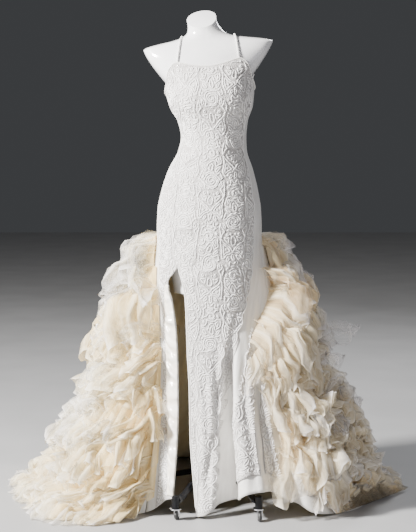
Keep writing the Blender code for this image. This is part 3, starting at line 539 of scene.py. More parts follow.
def two_tones(material, mask, dark, light, low_end=0.3, high_end=0.7):
    """A colour between two tones by a mask."""
    tones = node(material, "ValToRGB")
    tones.color_ramp.elements[0].position = low_end
    tones.color_ramp.elements[0].color = (*dark, 1.0)
    tones.color_ramp.elements[1].position = high_end
    tones.color_ramp.elements[1].color = (*light, 1.0)
    link(material, mask, tones.inputs["Fac"])
    return tones.outputs["Color"]


def raise_from(material, shader, height, distance, strength=1.0):
    """Bump from a height."""
    bump = node(material, "Bump", in_Strength=strength, in_Distance=distance)
    link(material, height, bump.inputs["Height"])
    link(material, bump.outputs["Normal"], shader.inputs["Normal"])


def speckled(name, colour, roughness, noise, tones, bump, stretch=None, **more):
    """A finish with noise in its colour and bump, its shader and the noise."""
    scale, detail = noise
    material, shader = finish(name, colour, roughness, **more)
    speck = node(material, "TexNoise", in_Scale=scale, in_Detail=detail)
    place = (pattern_place(material, stretch) if stretch
             else node(material, "TexCoord").outputs["Object"])
    link(material, place, speck.inputs["Vector"])
    if tones:
        link(material, two_tones(material, speck.outputs["Fac"], *tones),
             shader.inputs["Base Color"])
    if bump:
        raise_from(material, shader, speck.outputs["Fac"], *bump)
    return material, shader, speck.outputs["Fac"]


satin, shader, _ = speckled(
    "satin", (0.78, 0.765, 0.735), 0.30, (1.0, 3.0), ((0.71, 0.69, 0.66), (0.82, 0.81, 0.78)),
    (0.0022, 0.5), (70.0, 9.0, 1.0), sheen=0.2)
weave = node(satin, "TexWave", in_Scale=1.0, in_Distortion=0.6,
             wave_type="BANDS", bands_direction="DIAGONAL")
link(satin, pattern_place(satin, (420.0, 420.0, 1.0)), weave.inputs["Vector"])
shader.inputs["Anisotropic"].default_value = 0.35
sheen_map = node(satin, "MapRange", in_To_Min=0.26, in_To_Max=0.36)
link(satin, weave.outputs["Fac"], sheen_map.inputs["Value"])
link(satin, sheen_map.outputs["Result"], shader.inputs["Roughness"])

ground, shader = finish("lace_ground", (0.62, 0.59, 0.56), 0.75, sheen=0.2)
drift = node(ground, "TexNoise", in_Scale=1.0, in_Detail=2.0)
link(ground, pattern_place(ground, (90.0, 90.0, 1.0)), drift.inputs["Vector"])
shift = node(ground, "MixRGB", blend_type="ADD", in_Fac=0.9)
link(ground, pattern_place(ground, (210.0, 210.0, 1.0)), shift.inputs["Color1"])
link(ground, drift.outputs["Color"], shift.inputs["Color2"])
cells = node(ground, "TexVoronoi", feature="DISTANCE_TO_EDGE", in_Scale=1.0)
link(ground, shift.outputs["Color"], cells.inputs["Vector"])
# Painted shade: the net's holes show the satin darker than its own colour, as if in shadow under
# the net, and the whole ground is darker than the cords, as if shaded between them.
net = two_tones(ground, cells.outputs["Distance"], (0.70, 0.68, 0.66), (0.44, 0.415, 0.40),
                0.03, 0.24)
# Painted shade: the stored value darkens the open net along the rifts between motifs, as if they
# lay in shadow.
open_part = node(ground, "Attribute", attribute_name="rift_shade")
rift_shade_mix = node(ground, "MixRGB", blend_type="MULTIPLY")
rift_shade_mix.inputs["Color2"].default_value = (0.70, 0.69, 0.69, 1.0)
link(ground, open_part.outputs["Fac"], rift_shade_mix.inputs["Fac"])
link(ground, net, rift_shade_mix.inputs["Color1"])
link(ground, rift_shade_mix.outputs["Color"], shader.inputs["Base Color"])
turned = node(ground, "MapRange", in_From_Max=0.3, in_To_Min=1.0, in_To_Max=0.0)
link(ground, cells.outputs["Distance"], turned.inputs["Value"])
raise_from(ground, shader, turned.outputs["Result"], 0.0010, 0.9)

thread, _, _ = speckled(
    "lace_cord", (0.87, 0.855, 0.84), 0.60, (900.0, 2.0),
    ((0.80, 0.78, 0.76), (0.92, 0.91, 0.90)), (0.0004, 0.6), sheen=0.4)
form_gloss, _, _ = speckled(
    "form_gloss", (0.80, 0.795, 0.80), 0.16, (26.0, 2.0),
    ((0.78, 0.775, 0.785), (0.83, 0.825, 0.825)), (0.0006, 0.25), coat=0.5)
stand_black, shader, _ = speckled(
    "stand_black", (0.008, 0.008, 0.009), 0.30, (140.0, 4.0),
    ((0.004, 0.004, 0.005), (0.010, 0.010, 0.011)), (0.0002, 0.3))
shader.inputs["Specular IOR Level"].default_value = 0.22
chrome, shader, brush = speckled(
    "chrome", (0.72, 0.72, 0.74), 0.14, (420.0, 2.0), None, (0.0001, 0.2), metallic=1.0)
polish = node(chrome, "MapRange", in_To_Min=0.08, in_To_Max=0.22)
link(chrome, brush, polish.inputs["Value"])
link(chrome, polish.outputs["Result"], shader.inputs["Roughness"])
tyre, _, _ = speckled(
    "wheel_black", (0.020, 0.020, 0.021), 0.42, (600.0, 2.0),
    ((0.014, 0.014, 0.015), (0.035, 0.034, 0.033)), (0.0003, 0.4))
print(len(bpy.data.materials), "finishes")

# %% [markdown]
# ## Satin panels
# The gown is cut in four satin panels: a front that reaches from the slit to the right side
# seam, a narrow side front on the left, and two backs that open into the train. Each is sewn
# from edge to edge, so a panel is a grid between its cutting lines. Solidify gives the inner wall
# a warm tan material of its own with material_offset: painted shade and warm light inside the
# skirt.

# %% Panels between cutting lines
FRONT_COLUMNS, SIDE_COLUMNS = (9, 8), (1, 4)
ABOVE = len(PANEL_ROWS) - 1
FINE = 5
CUT_GRID = (48, 160)


def cut_line(rows, degrees=0.0):
    """A cutting line read from its table and moved round the body."""
    return lambda height: between(rows, height)[..., 0] + degrees


def straight(angle):
    """A cutting line at one angle."""
    return lambda height: np.full(np.shape(height), float(angle))


FRONT_LINES = (
    cut_line(SLIT_FRONT_EDGE, SEAM_TURN), cut_line(LACE_EDGE), straight(SIDE_SEAM - SEAM_TURN),
)
SIDE_LINES = (
    straight(-SIDE_SEAM + SEAM_TURN), straight(LACE_SIDE_EDGE), cut_line(SLIT_FOLD, -SEAM_TURN),
)
BACK_LEFT = (straight(SEAM_TURN - 180.0), straight(-SIDE_SEAM - SEAM_TURN))
BACK_RIGHT = (straight(SIDE_SEAM + SEAM_TURN), straight(180.0 - SEAM_TURN))


def angle_in(lines, counts, column, height):
    """Angle of a column between cutting lines at a height."""
    edges = np.concatenate([[0], np.cumsum(counts)])
    stops = np.stack([line(height) for line in lines], axis=-1)
    index = np.clip(np.searchsorted(edges, column, side="right") - 1, 0, len(counts) - 1)
    part = (column - edges[index]) / np.take(counts, index)
    first = np.take_along_axis(stops, index[..., None], -1)[..., 0]
    last = np.take_along_axis(stops, index[..., None] + 1, -1)[..., 0]
    return mix(first, last, part)


def panel(lines, counts, lift=0.0, window=(0.0, 1.0, 0.0, 1.0), edge=None, creased=True):
    """A placing function for a panel or a window of it, with an optional shaped edge."""
    left, right, low_end, high_end = window
    total = sum(counts)

    def place(across, up):
        height_share = mix(low_end, high_end, up)
        row = (1.0 - height_share) * (ABOVE + SKIRT_ROWS)
        reach = right + (edge(row) if edge else 0.0)
        column = mix(left, reach, across) * total
        rough = angle_in(lines, counts, column, np.full(row.shape, ROUGH_HEIGHT))
        start, _, _, foot_z, _, curl, lie = np.moveaxis(between(SKIRT, rough), -1, 0)
        share_low = np.clip((row - ABOVE) / SKIRT_ROWS, 0.0, 1.0)
        angle_low = angle_in(lines, counts, column, fall(start, foot_z, curl, lie, share_low))
        first = step_at(angle_in(lines, counts, column, start), start)
        step_low = mix(first, 1.0, share_low)
        neck = angle_in(lines, counts, column, np.full(row.shape, NECKLINE[0][1]))
        share = np.interp(row, np.arange(ABOVE + 1), PANEL_ROWS)
        height = mix(first_of(NECKLINE, neck), start, share)
        angle_high = angle_in(lines, counts, column, height)
        below = row > ABOVE
        angle = np.where(below, angle_low, angle_high)
        step = np.where(below, step_low, step_at(angle_high, height))
        points = cloth_point(angle, step, lift) if creased else dress(angle, step)
        round_metres = angle * METRES_PER_DEGREE * (1.0 + np.clip(step, 0.0, 1.0))
        metres = np.stack([round_metres, -1.1 * step], axis=-1)
        return points, {"uv": metres, "angle": angle}

    return place


def cut_of(place):
    """Width, length and area of a pattern piece, from a placing function without creases."""
    columns, rows = CUT_GRID
    across, up = np.meshgrid(np.linspace(0.0, 1.0, columns + 1), np.linspace(0.0, 1.0, rows + 1))
    points = place(across.ravel(), up.ravel())[0].reshape(rows + 1, columns + 1, 3)
    wide, long = np.diff(points, axis=1), np.diff(points, axis=0)
    width = np.linalg.norm(wide, axis=-1).sum(axis=1).max()
    length = np.linalg.norm(long, axis=-1).sum(axis=0).max()
    halves = np.cross(wide[:-1], long[:, :-1]), np.cross(wide[1:], long[:, 1:])
    area = 0.5 * sum(np.linalg.norm(half, axis=-1).sum() for half in halves)
    return round(float(width), 3), round(float(length), 3), round(float(area), 4)


# Painted shade and warm light: the inside of the satin is cream, and this tan stands for the shade
# and warm light inside the skirt.
inner_warm_shade, _, _ = speckled(
    "inner_warm_shade", (0.90, 0.77, 0.52), 0.45, (1.0, 3.0), ((0.84, 0.70, 0.44), (0.95, 0.84, 0.60)),
    (0.003, 0.6), (60.0, 6.0, 1.0), sheen=0.3)
pieces = {}
PANELS = (
    ("satin_front", FRONT_LINES, FRONT_COLUMNS), ("satin_side_left", SIDE_LINES, SIDE_COLUMNS),
    ("satin_back_left", BACK_LEFT, (10,)), ("satin_back_right", BACK_RIGHT, (10,)),
)
for name, lines, counts in PANELS:
    columns, rows = sum(counts) * FINE, (ABOVE + SKIRT_ROWS) * FINE
    mesh = grid_mesh(name + "_cloth", columns, rows, panel(lines, counts))
    pieces[name] = walled(mesh, satin, SATIN, "satin", name)
    mesh.materials.append(inner_warm_shade)
    pieces[name].modifiers["wall"].material_offset = 1
    print(name, len(mesh.polygons), "faces,", round(area_of(mesh), 3), "square metres")

# %% [markdown]
# ## The slit's facing
# A bias facing finishes the slit. It is rolled over the fold and laid back on the side front,
# where it puckers in soft diagonals, because bias cloth that follows a curve has length to
# lose. It is one sheet with a rolled edge, and its puckers are a wave across its width.

# %% Facing
FACING_SECTION = (
    # share of the facing's width, degrees past the fold, lift
    (1.00, 0.00, 0.0040), (0.70, 0.00, 0.0058), (0.35, 0.00, 0.0064), (0.03, 1.20, 0.0050),
    (0.00, 1.40, -0.0008),
)
PUCKERS = (
    # height, slope, width, depth
    (0.700, 0.20, 0.010, 0.0022), (0.672, -0.25, 0.012, 0.0030), (0.640, 0.30, 0.010, 0.0026),
    (0.604, -0.10, 0.014, 0.0036), (0.566, 0.35, 0.011, 0.0026), (0.530, 0.15, 0.013, 0.0034),
    (0.486, -0.20, 0.012, 0.0028), (0.448, 0.30, 0.015, 0.0036), (0.404, 0.10, 0.012, 0.0026),
    (0.362, -0.15, 0.016, 0.0034), (0.318, 0.25, 0.012, 0.0026), (0.276, 0.05, 0.015, 0.0034),
    (0.230, -0.20, 0.013, 0.0028), (0.186, 0.20, 0.014, 0.0030), (0.140, 0.00, 0.013, 0.0028),
    (0.100, 0.20, 0.012, 0.0022),
)
FACING_WIDTH, FACING_TOP = 0.055, 0.716


def facing_place(across, up):
    """Points of the facing."""
    section = np.array(FACING_SECTION)
    index = across * (len(section) - 1)
    share, past, lift = (np.interp(index, np.arange(len(section)), section[:, i]) for i in range(3))
    height = mix(FACING_LOW, FACING_TOP, up)
    fold, edge = first_of(SLIT_FOLD, height), first_of(FACING_EDGE, height)
    angle = mix(fold, edge, share) + past
    ease = np.sin(math.pi * np.clip(share * 1.05, 0.0, 1.0)) ** 0.7
    lift = lift - 0.0012 * ease
    for middle, slope, width, depth in PUCKERS:
        away = height - middle - (0.35 + 1.6 * slope) * FACING_WIDTH * (share - 0.5)
        lift = lift + 2.0 * ease * depth * np.exp(-(away / (0.8 * width)) ** 2)
    points = cloth_point(angle, step_at(angle, height), lift)
    return points, {"uv": np.stack([share * FACING_WIDTH, height], axis=-1)}


def facing_flat(across, up):
    """Points of the facing without its roll and puckers."""
    height = mix(FACING_LOW, FACING_TOP, up)
    angle = mix(first_of(SLIT_FOLD, height), first_of(FACING_EDGE, height), across)
    return dress(angle, step_at(angle, height)), {}


# Painted light: the facing is given a lighter, warmer colour than the gown's satin, as it looks in
# the light.
bias_satin, shader = finish("bias_satin", (0.92, 0.88, 0.79), 0.20, sheen=0.2)
pucker_relief_and_shade = node(bias_satin, "TexWave", in_Scale=1.0, in_Distortion=9.0, in_Detail=3.0,
            in_Detail_Scale=1.1)
slanted = node(bias_satin, "Mapping", in_Scale=(6.0, 7.5, 1.0),
               in_Rotation=(0.0, 0.0, math.radians(48.0)))
link(bias_satin, node(bias_satin, "UVMap", uv_map="cloth").outputs["UV"], slanted.inputs["Vector"])
link(bias_satin, slanted.outputs["Vector"], pucker_relief_and_shade.inputs["Vector"])
# Painted shade and highlight: the tones follow the same diagonal wave as the bump, darker in its
# troughs and lighter on its crests.
link(bias_satin, two_tones(bias_satin, pucker_relief_and_shade.outputs["Fac"], (0.87, 0.81, 0.71), (0.95, 0.91, 0.83)),
     shader.inputs["Base Color"])
raise_from(bias_satin, shader, pucker_relief_and_shade.outputs["Fac"], 0.0042, 1.0)
mesh = grid_mesh("slit_facing_cloth", 24, 150, facing_place)
facing = walled(mesh, bias_satin, SATIN, "satin", "slit_facing")
print("facing", round(area_of(mesh), 4), "square metres")

# %% [markdown]
# ## Where the lace goes
# The lace is drawn flat and laid on the satin. It needs a flat place to be drawn: X is metres
# round the body from the centre front, Z is the height. A table of girths at every two
# centimetres turns (X, Z) into an angle and back, so the pattern keeps its size from the bust
# to the knee.

# %% Flat place of the lace
ROW_GAP, LACE_REACH = 0.02, 80
LACE_HEIGHTS = np.arange(0.0, 1.461, ROW_GAP)
LACE_ANGLES = np.arange(-80.0, 80.01, 1.0)
angle_grid, height_grid = np.meshgrid(LACE_ANGLES, LACE_HEIGHTS)
ring = dress(angle_grid, step_at(angle_grid, height_grid))
gap = np.linalg.norm(np.diff(ring[..., :2], axis=1), axis=-1)
GIRTHS = np.concatenate([np.zeros((len(ring), 1)), np.cumsum(gap, axis=1)], axis=1)
GIRTHS -= GIRTHS[:, [LACE_REACH]]


def girth_angle(x, z):
    """Angle at a flat place."""
    row = np.clip(z / ROW_GAP, 0.0, len(LACE_HEIGHTS) - 1.001)
    index = row.astype(int)
    angle = np.zeros(x.shape)
    for number in np.unique(index):
        chosen = index == number
        low_angle = np.interp(x[chosen], GIRTHS[number], LACE_ANGLES)
        high_angle = np.interp(x[chosen], GIRTHS[number + 1], LACE_ANGLES)
        angle[chosen] = mix(low_angle, high_angle, row[chosen] - number)
    return angle


def girth_metres(angle, z):
    """Flat X of an angle and height."""
    row = np.clip(z / ROW_GAP, 0.0, len(LACE_HEIGHTS) - 1.001)
    column = np.clip(angle + LACE_REACH, 0.0, len(LACE_ANGLES) - 1.001)
    i, j = row.astype(int), column.astype(int)
    u, v = row - i, column - j
    first, second = (mix(GIRTHS[k, j], GIRTHS[k, j + 1], v) for k in (i, i + 1))
    return first * (1 - u) + second * u


print("hips, side to side in front:", round(GIRTHS[47, 140] - GIRTHS[47, 20], 3), "m")

# %% [markdown]
# ## Drawing the lace
# Corded lace is drawn by one continuous cord that runs round each motif and echoes its outline
# inwards, like rings in water. The design here is a plain traditional one in half-drop repeat:
# a heart with a leaf in it, a volute above, sprays of leaves between, and wavy stems. Only these
# outlines are drawn. The echoes come from the distance to them: a cord runs where it is half a
# spacing, and again at every whole spacing further.

# %% Outlines of the design
REPEAT_X, REPEAT_Z = 0.150, 0.250
SPACING, RIFT_WIDER = 0.0062, 0.0012
CELL = 0.001


def heart(middle_z, wide, tall):
    """A heart with its cleft at the top and its point below."""
    a = np.linspace(0.0, math.tau, 110)
    x = wide * np.sin(a) ** 3
    z = tall * (13.0 * np.cos(a) - 5.0 * np.cos(2.0 * a)
                - 2.0 * np.cos(3.0 * a) - np.cos(4.0 * a)) / 17.0
    return np.stack([x, middle_z + z], axis=-1)


def volute(x, z, size, turn, turns=1.75, start=-90.0):
    """A volute that winds inwards."""
    t = np.linspace(0.0, 1.0, 90)
    a = math.radians(start) + t * math.tau * turns
    r = size * (1.0 - t) ** 0.8 + 0.001
    return np.stack([x + turn * r * np.cos(a), z + r * np.sin(a)], axis=-1)


def leaf(x, z, long, wide, lean):
    """A pointed leaf that leans by an angle from upright."""
    a = np.linspace(0.0, math.tau, 50)
    across, along = wide * np.sin(a) * (1.0 + 0.35 * np.cos(a)), long * (1.0 - np.cos(a)) / 2.0
    turn = math.radians(lean)
    return np.stack([x + across * math.cos(turn) + along * math.sin(turn),
                     z - across * math.sin(turn) + along * math.cos(turn)], axis=-1)


def stem(side):
    """A wavy stem between two columns of motifs."""
    z = np.linspace(-REPEAT_Z / 2.0, REPEAT_Z / 2.0, 150)
    bow = 0.0085 * np.cos(math.tau * z / REPEAT_Z) + 0.0030 * np.sin(3.0 * math.tau * z / REPEAT_Z)
    return np.stack([side * (REPEAT_X / 4.0 + bow), z], axis=-1)


RIFTS = [heart(-0.012, 0.0330, 0.0330), stem(-1.0), stem(1.0)]
SPRIGS = [
    volute(0.0015, 0.0385, 0.0245, 1.0, 1.9, -100.0), leaf(0.0, -0.036, 0.040, 0.0095, 0.0),
    leaf(0.016, -0.006, 0.022, 0.0060, 28.0), leaf(-0.016, -0.006, 0.022, 0.0060, -28.0),
    leaf(0.0, 0.068, 0.032, 0.0085, 10.0), leaf(-0.012, 0.066, 0.028, 0.0065, -38.0),
    leaf(0.014, 0.066, 0.028, 0.0065, 42.0), volute(0.0, 0.1240, 0.0165, -1.0, 1.5, 60.0),
    leaf(0.0, -0.056, 0.032, 0.0070, 180.0), leaf(0.009, -0.062, 0.028, 0.0060, 150.0),
    leaf(-0.009, -0.062, 0.028, 0.0060, -150.0), leaf(0.026, 0.018, 0.026, 0.0060, 16.0),
    leaf(-0.026, 0.018, 0.026, 0.0060, -16.0), leaf(0.022, 0.120, 0.022, 0.0050, -12.0),
    leaf(-0.022, 0.100, 0.022, 0.0050, 12.0), leaf(0.020, -0.098, 0.024, 0.0055, 20.0),
    leaf(-0.020, -0.098, 0.024, 0.0055, -20.0),
]
print(len(RIFTS) + len(SPRIGS), "outlines in a motif of", REPEAT_X, "by", REPEAT_Z, "m")

# %% [markdown]
# ## Echoing the outlines
# The distances are measured once, in one repeat, and read again wherever the lace is. Between
# the motifs the echoes stop, which leaves the open net that parts them.

# %% Distances in one repeat
def repeat_distances(motif):
    """Distance to the nearest outline over one repeat."""
    columns, rows = round(REPEAT_X / CELL), round(REPEAT_Z / CELL)
    spots = []
    for i in (-1, 0, 1, 2):
        for j in (-1, 0, 1, 2):
            for shift, turn in ((0.0, 1.0), (0.5, -1.0)):
                origin = np.array([(i + shift) * REPEAT_X, (j + shift) * REPEAT_Z])
                spots.extend(outline * np.array([turn, 1.0]) + origin for outline in motif)
    joined = np.concatenate(spots)
    inside = ((joined > -0.03).all(axis=1)
              & (joined[:, 0] < REPEAT_X + 0.03) & (joined[:, 1] < REPEAT_Z + 0.03))
    x, z = np.meshgrid((np.arange(columns) + 0.5) * CELL, (np.arange(rows) + 0.5) * CELL)
    nearest = np.full(x.shape, 1.0)
    for part in np.array_split(joined[inside], 60):
        away = np.hypot(x[..., None] - part[:, 0], z[..., None] - part[:, 1]).min(axis=-1)
        nearest = np.minimum(nearest, away)
    return nearest


NEAR_RIFT = repeat_distances(RIFTS)
NEAREST = np.minimum(np.maximum(NEAR_RIFT - RIFT_WIDER, 0.0), repeat_distances(SPRIGS))


def read_repeat(table, x, z):
    """A table of one repeat read at any flat place."""
    x = x + 0.0035 * np.sin(z * 17.0 + 0.6) + 0.0018 * np.sin(z * 118.0 + 1.7 * np.sin(x * 47.0))
    z = z + 0.0030 * np.sin(x * 19.0 + 1.1) + 0.0018 * np.sin(x * 131.0 + 1.3 * np.sin(z * 59.0))
    column, row = (x / CELL - 0.5) % table.shape[1], (z / CELL - 0.5) % table.shape[0]
    i, j = row.astype(int), column.astype(int)
    u, v = row - i, column - j
    i, j = i % table.shape[0], j % table.shape[1]
    i_next, j_next = (i + 1) % table.shape[0], (j + 1) % table.shape[1]
    near_side = mix(table[i, j], table[i, j_next], v)
    far_side = mix(table[i_next, j], table[i_next, j_next], v)
    return mix(near_side, far_side, u)


def echo(x, z):
    """Distance to the outlines with the wriggle of a hand-guided cord."""
    wriggle = (0.0009 * np.sin(x * 640.0 + 2.0 * np.sin(z * 210.0))
               * np.sin(z * 560.0 + 1.5 * np.sin(x * 190.0)))
    return read_repeat(NEAREST, x, z) + wriggle


print("farthest from an outline:", round(float(NEAREST.max()) * 1000, 1), "mm")

# %% [markdown]
# ## From distances to cords
# A line of equal distance is followed from cell to cell of a fine lattice, which is how contour
# lines are drawn on a map. Each line becomes a curve with a round bevel, laid on the dress.

# %% Contour lines
LATTICE = 0.0013


def contours(field):
    """Lines along which a field passes 0, as arrays of (column, row). NaN ends a line."""
    rows, columns = field.shape
    with np.errstate(invalid="ignore"):
        flat = (field[:, :-1] * field[:, 1:]) < 0.0
        tall = (field[:-1, :] * field[1:, :]) < 0.0
    count = rows * columns
    number = np.arange(count).reshape(rows, columns)
    bottom, top = flat[:-1, :], flat[1:, :]
    left, right = tall[:, :-1], tall[:, 1:]
    total = bottom.astype(int) + top + left + right
    names = (number[:-1, :-1], number[1:, :-1], number[:-1, :-1] + count, number[:-1, 1:] + count)
    sides = (bottom, top, left, right)
    pairs = []
    for one, two in ((0, 1), (0, 2), (0, 3), (2, 3), (1, 2), (1, 3)):
        chosen = sides[one] & sides[two] & (total == 2)
        pairs.append(np.stack([names[one][chosen], names[two][chosen]], axis=-1))
    chosen = total == 4
    pairs.append(np.stack([names[0][chosen], names[2][chosen]], axis=-1))
    pairs.append(np.stack([names[1][chosen], names[3][chosen]], axis=-1))
    near = {}
    for one, two in np.concatenate(pairs).tolist():
        near.setdefault(one, []).append(two)
        near.setdefault(two, []).append(one)
    return walk(near, field, count)


def walk(near, field, count):
    """Join the steps between lattice edges into lines."""
    columns = field.shape[1]
    seen, lines = set(), []
    for start in [key for key, ends in near.items() if len(ends) == 1] + list(near):
        if start in seen:
            continue
        chain, key = [start], start
        seen.add(start)
        while True:
            following = [other for other in near[key] if other not in seen]
            if not following:
                break
            key = following[0]
            seen.add(key)
            chain.append(key)
        closed = len(chain) > 3 and chain[0] in near[chain[-1]]
        keys = np.array(chain)
        upright = keys >= count
        cell = keys - count * upright
        row, column = cell // columns, cell % columns
        first = field[row, column]
        second = field[row + upright, column + (~upright)]
        part = first / (first - second)
        line = np.stack([column + part * (~upright), row + part * upright], axis=-1)
        lines.append((line, closed))
    return lines


print("lattice of", LATTICE * 1000, "mm")

# %% [markdown]
# ## Laying the cords
# The cord of the lace is about three millimetres thick. A curve with a four-sided bevel is
# enough for it, because smooth shading rounds it off. The lace ends in a scalloped edge along the
# right, and a cord follows each edge.

# %% Cords
CORD_RADIUS = 0.0016
ON_LACE = LACE_GAP + LACE + 0.0008
CHANNEL = 0.0004
KEEP_EVERY, SHORTEST_LINE = 3, 9


def smooth_line(line, closed):
    """A softened line with fewer points."""
    if closed:
        soft = (np.roll(line, 1, axis=0) + 2.0 * line + np.roll(line, -1, axis=0)) / 4.0
        soft = (np.roll(soft, 1, axis=0) + 2.0 * soft + np.roll(soft, -1, axis=0)) / 4.0
        return soft[::KEEP_EVERY]
    soft = line.copy()
    soft[1:-1] = (line[:-2] + 2.0 * line[1:-1] + line[2:]) / 4.0
    kept = soft[::KEEP_EVERY]
    return kept if (len(soft) - 1) % KEEP_EVERY == 0 else np.concatenate([kept, soft[-1:]])


def cord_mesh(name, lines, radius, material, sides=0, knots=0.0):
    """A mesh of cords from lines of 3-D points."""
    curve = bpy.data.curves.new(name, "CURVE")
    curve.dimensions = "3D"
    curve.bevel_depth = radius
    curve.bevel_resolution = sides
    curve.use_fill_caps = True
    for points, closed in lines:
        spline = curve.splines.new("POLY")
        spline.points.add(len(points) - 1)
        flat = np.concatenate([points, np.ones((len(points), 1))], axis=1)
        spline.points.foreach_set("co", flat.astype(np.float32).ravel())
        if knots:
            thick = 1.0 + knots * np.sin(
                7.3 * np.arange(len(points)) + 90.0 * points[:, 0] + 70.0 * points[:, 2])
            spline.points.foreach_set("radius", thick.astype(np.float32))
        spline.use_cyclic_u = closed
    rough = bpy.data.objects.new(name + "_curve", curve)
    bpy.context.scene.collection.objects.link(rough)
    bpy.context.view_layer.update()
    mesh = bpy.data.meshes.new_from_object(rough)
    mesh.name = name
    bpy.data.objects.remove(rough, do_unlink=True)
    bpy.data.curves.remove(curve)
    mesh.shade_smooth()
    return new_object(name, mesh, material)


def lace_cords(name, inside, x_range, z_range, lift=ON_LACE):
    """The cords of a piece of lace where inside(angle, height) holds."""
    x = np.arange(x_range[0], x_range[1], LATTICE)
    z = np.arange(z_range[0], z_range[1], LATTICE)
    flat_x, flat_z = np.meshgrid(x, z)
    angle = girth_angle(flat_x, flat_z)
    distance = echo(flat_x, flat_z)
    field = np.cos(math.pi * (distance - CHANNEL) / SPACING)
    field[~inside(angle, flat_z)] = np.nan
    lines = []
    for line, closed in contours(field):
        if len(line) < SHORTEST_LINE:
            continue
        line = smooth_line(line, closed)
        spot_x, spot_z = x_range[0] + line[:, 0] * LATTICE, z_range[0] + line[:, 1] * LATTICE
        spot = girth_angle(spot_x, spot_z)
        lines.append((cloth_point(spot, step_at(spot, spot_z), lift), closed))
    thing = cord_mesh(name, lines, CORD_RADIUS, thread, knots=0.22)
    print(name, len(lines), "cords,", len(thing.data.polygons) * 2, "triangles")
    return thing


def scallop(height):
    """How far the scalloped edge reaches past the lace's line, in degrees."""
    return 3.4 * np.abs(np.sin(height * math.pi / 0.052)) - 1.2


def foot_of(angle):
    """Height of the foot of the fold at an angle."""
    return between(SKIRT, angle)[..., 3]


def in_front(angle, height):
    """Inside the front lace."""
    left = first_of(SLIT_FRONT_EDGE, height) + 1.6 - 1.6 * ramp(height, 0.770, 0.785)
    right = first_of(LACE_EDGE, height) + np.minimum(scallop(height), 2.0) - 1.0
    right = np.where(height > 1.0, first_of(LACE_EDGE, height) - 0.5, right)
    top = first_of(NECKLINE, angle) - 0.006
    return (angle > left) & (angle < right) & (height < top) & (height > foot_of(angle) + 0.010)


def in_side(angle, height):
    """Inside the lace left of the slit."""
    right = first_of(SLIT_FOLD, height) - 1.0 + 1.0 * ramp(height, 0.770, 0.785)
    covered = first_of(FACING_EDGE, height) + 0.5
    right = np.where(height < FACING_HIGH, np.minimum(right, covered), right)
    top = first_of(NECKLINE, angle) - 0.006
    return ((angle > LACE_SIDE_EDGE + 0.5) & (angle < right)
            & (height < top) & (height > foot_of(angle) + 0.010))


front_cords = lace_cords("lace_front_cords", in_front, (-0.10, 0.26), (0.0, 1.42))
side_cords = lace_cords("lace_side_left_cords", in_side, (-0.26, -0.04), (0.0, 1.40))

# %% [markdown]
# ## The lace's ground
# Under the cords lies the net, a thin sheet on the satin. Its edge follows the scallops. Three
# narrow gores of the same lace run up from the hem on the folds of the flare.

# %% Ground of the lace
def scalloped(row):
    """Shift of the lace's right edge, as a share of the whole panel, at a row from the top."""
    height = np.interp(row, (0.0, ABOVE, ABOVE + SKIRT_ROWS), (1.39, 0.55, 0.0))
    return np.where(row > 6.0, scallop(height) / 17.0 / 5.0, 0.0)


def with_flat_uv(place):
    """The same placing function with the lace's own flat coordinates as its UV map, and a painted
    shade value along the rifts between motifs.
    """
    def placed(across, up):
        points, paint = place(across, up)
        z = points[..., 2]
        flat_x = girth_metres(paint["angle"], z)
        across_wave = np.sin(flat_x * 61.0 + 2.0 * np.sin(z * 43.0))
        down_wave = np.sin(z * 71.0 + 1.5 * np.sin(flat_x * 38.0))
        uneven = 0.55 + 0.45 * across_wave * down_wave
        # Painted shade along the rifts between motifs, uneven in strength, fading out between 2.8
        # and 5.2 mm from them.
        rift_shade = uneven * (1.0 - ramp(read_repeat(NEAR_RIFT, flat_x, z), 0.0028, 0.0052))
        return points, {"uv": np.stack([flat_x, z], axis=-1), "rift_shade": rift_shade}
    return placed


GORES = (
    # first_column, last_column, high_row, low_row, further_out
    (2, 4.5, 9, 1, 0.0014), (4.75, 6, 6, 1, 0.0014), (7, 8, 4, 1, 0.0020),
)
LACE_LIFT = LACE_GAP + LACE
ROWS = ABOVE + SKIRT_ROWS
edge_share = FRONT_COLUMNS[0] / sum(FRONT_COLUMNS)


def over_seam(height):
    """The net's left cutting line: it covers the seam above the slit."""
    return cut_line(SLIT_FRONT_EDGE, SEAM_TURN)(height) - 1.2 * ramp(height, 0.770, 0.790)


NET_LINES = (over_seam, FRONT_LINES[1], FRONT_LINES[2])
place = panel(NET_LINES, FRONT_COLUMNS, LACE_LIFT + 0.0002, (0.0, edge_share, 0.0, 1.0), scalloped)
mesh = grid_mesh("lace_front_net", 72, 280, with_flat_uv(place))
front_net = walled(mesh, ground, LACE, "lace", "lace_front")
place = panel(SIDE_LINES, SIDE_COLUMNS, LACE_LIFT, (0.2, 1.0, 0.0, 1.0))
mesh = grid_mesh("lace_side_left_net", 18, 280, with_flat_uv(place))
side_net = walled(mesh, ground, LACE, "lace", "lace_side_left")
wear(front_cords, "lace")
wear(side_cords, "lace")


def gore_bounds(number):
    """Columns and rows of a gore."""
    first, last, high_row, low_row, further = GORES[number - 1]
    return first, last, (ABOVE + SKIRT_ROWS - high_row), (ABOVE + SKIRT_ROWS - low_row), further


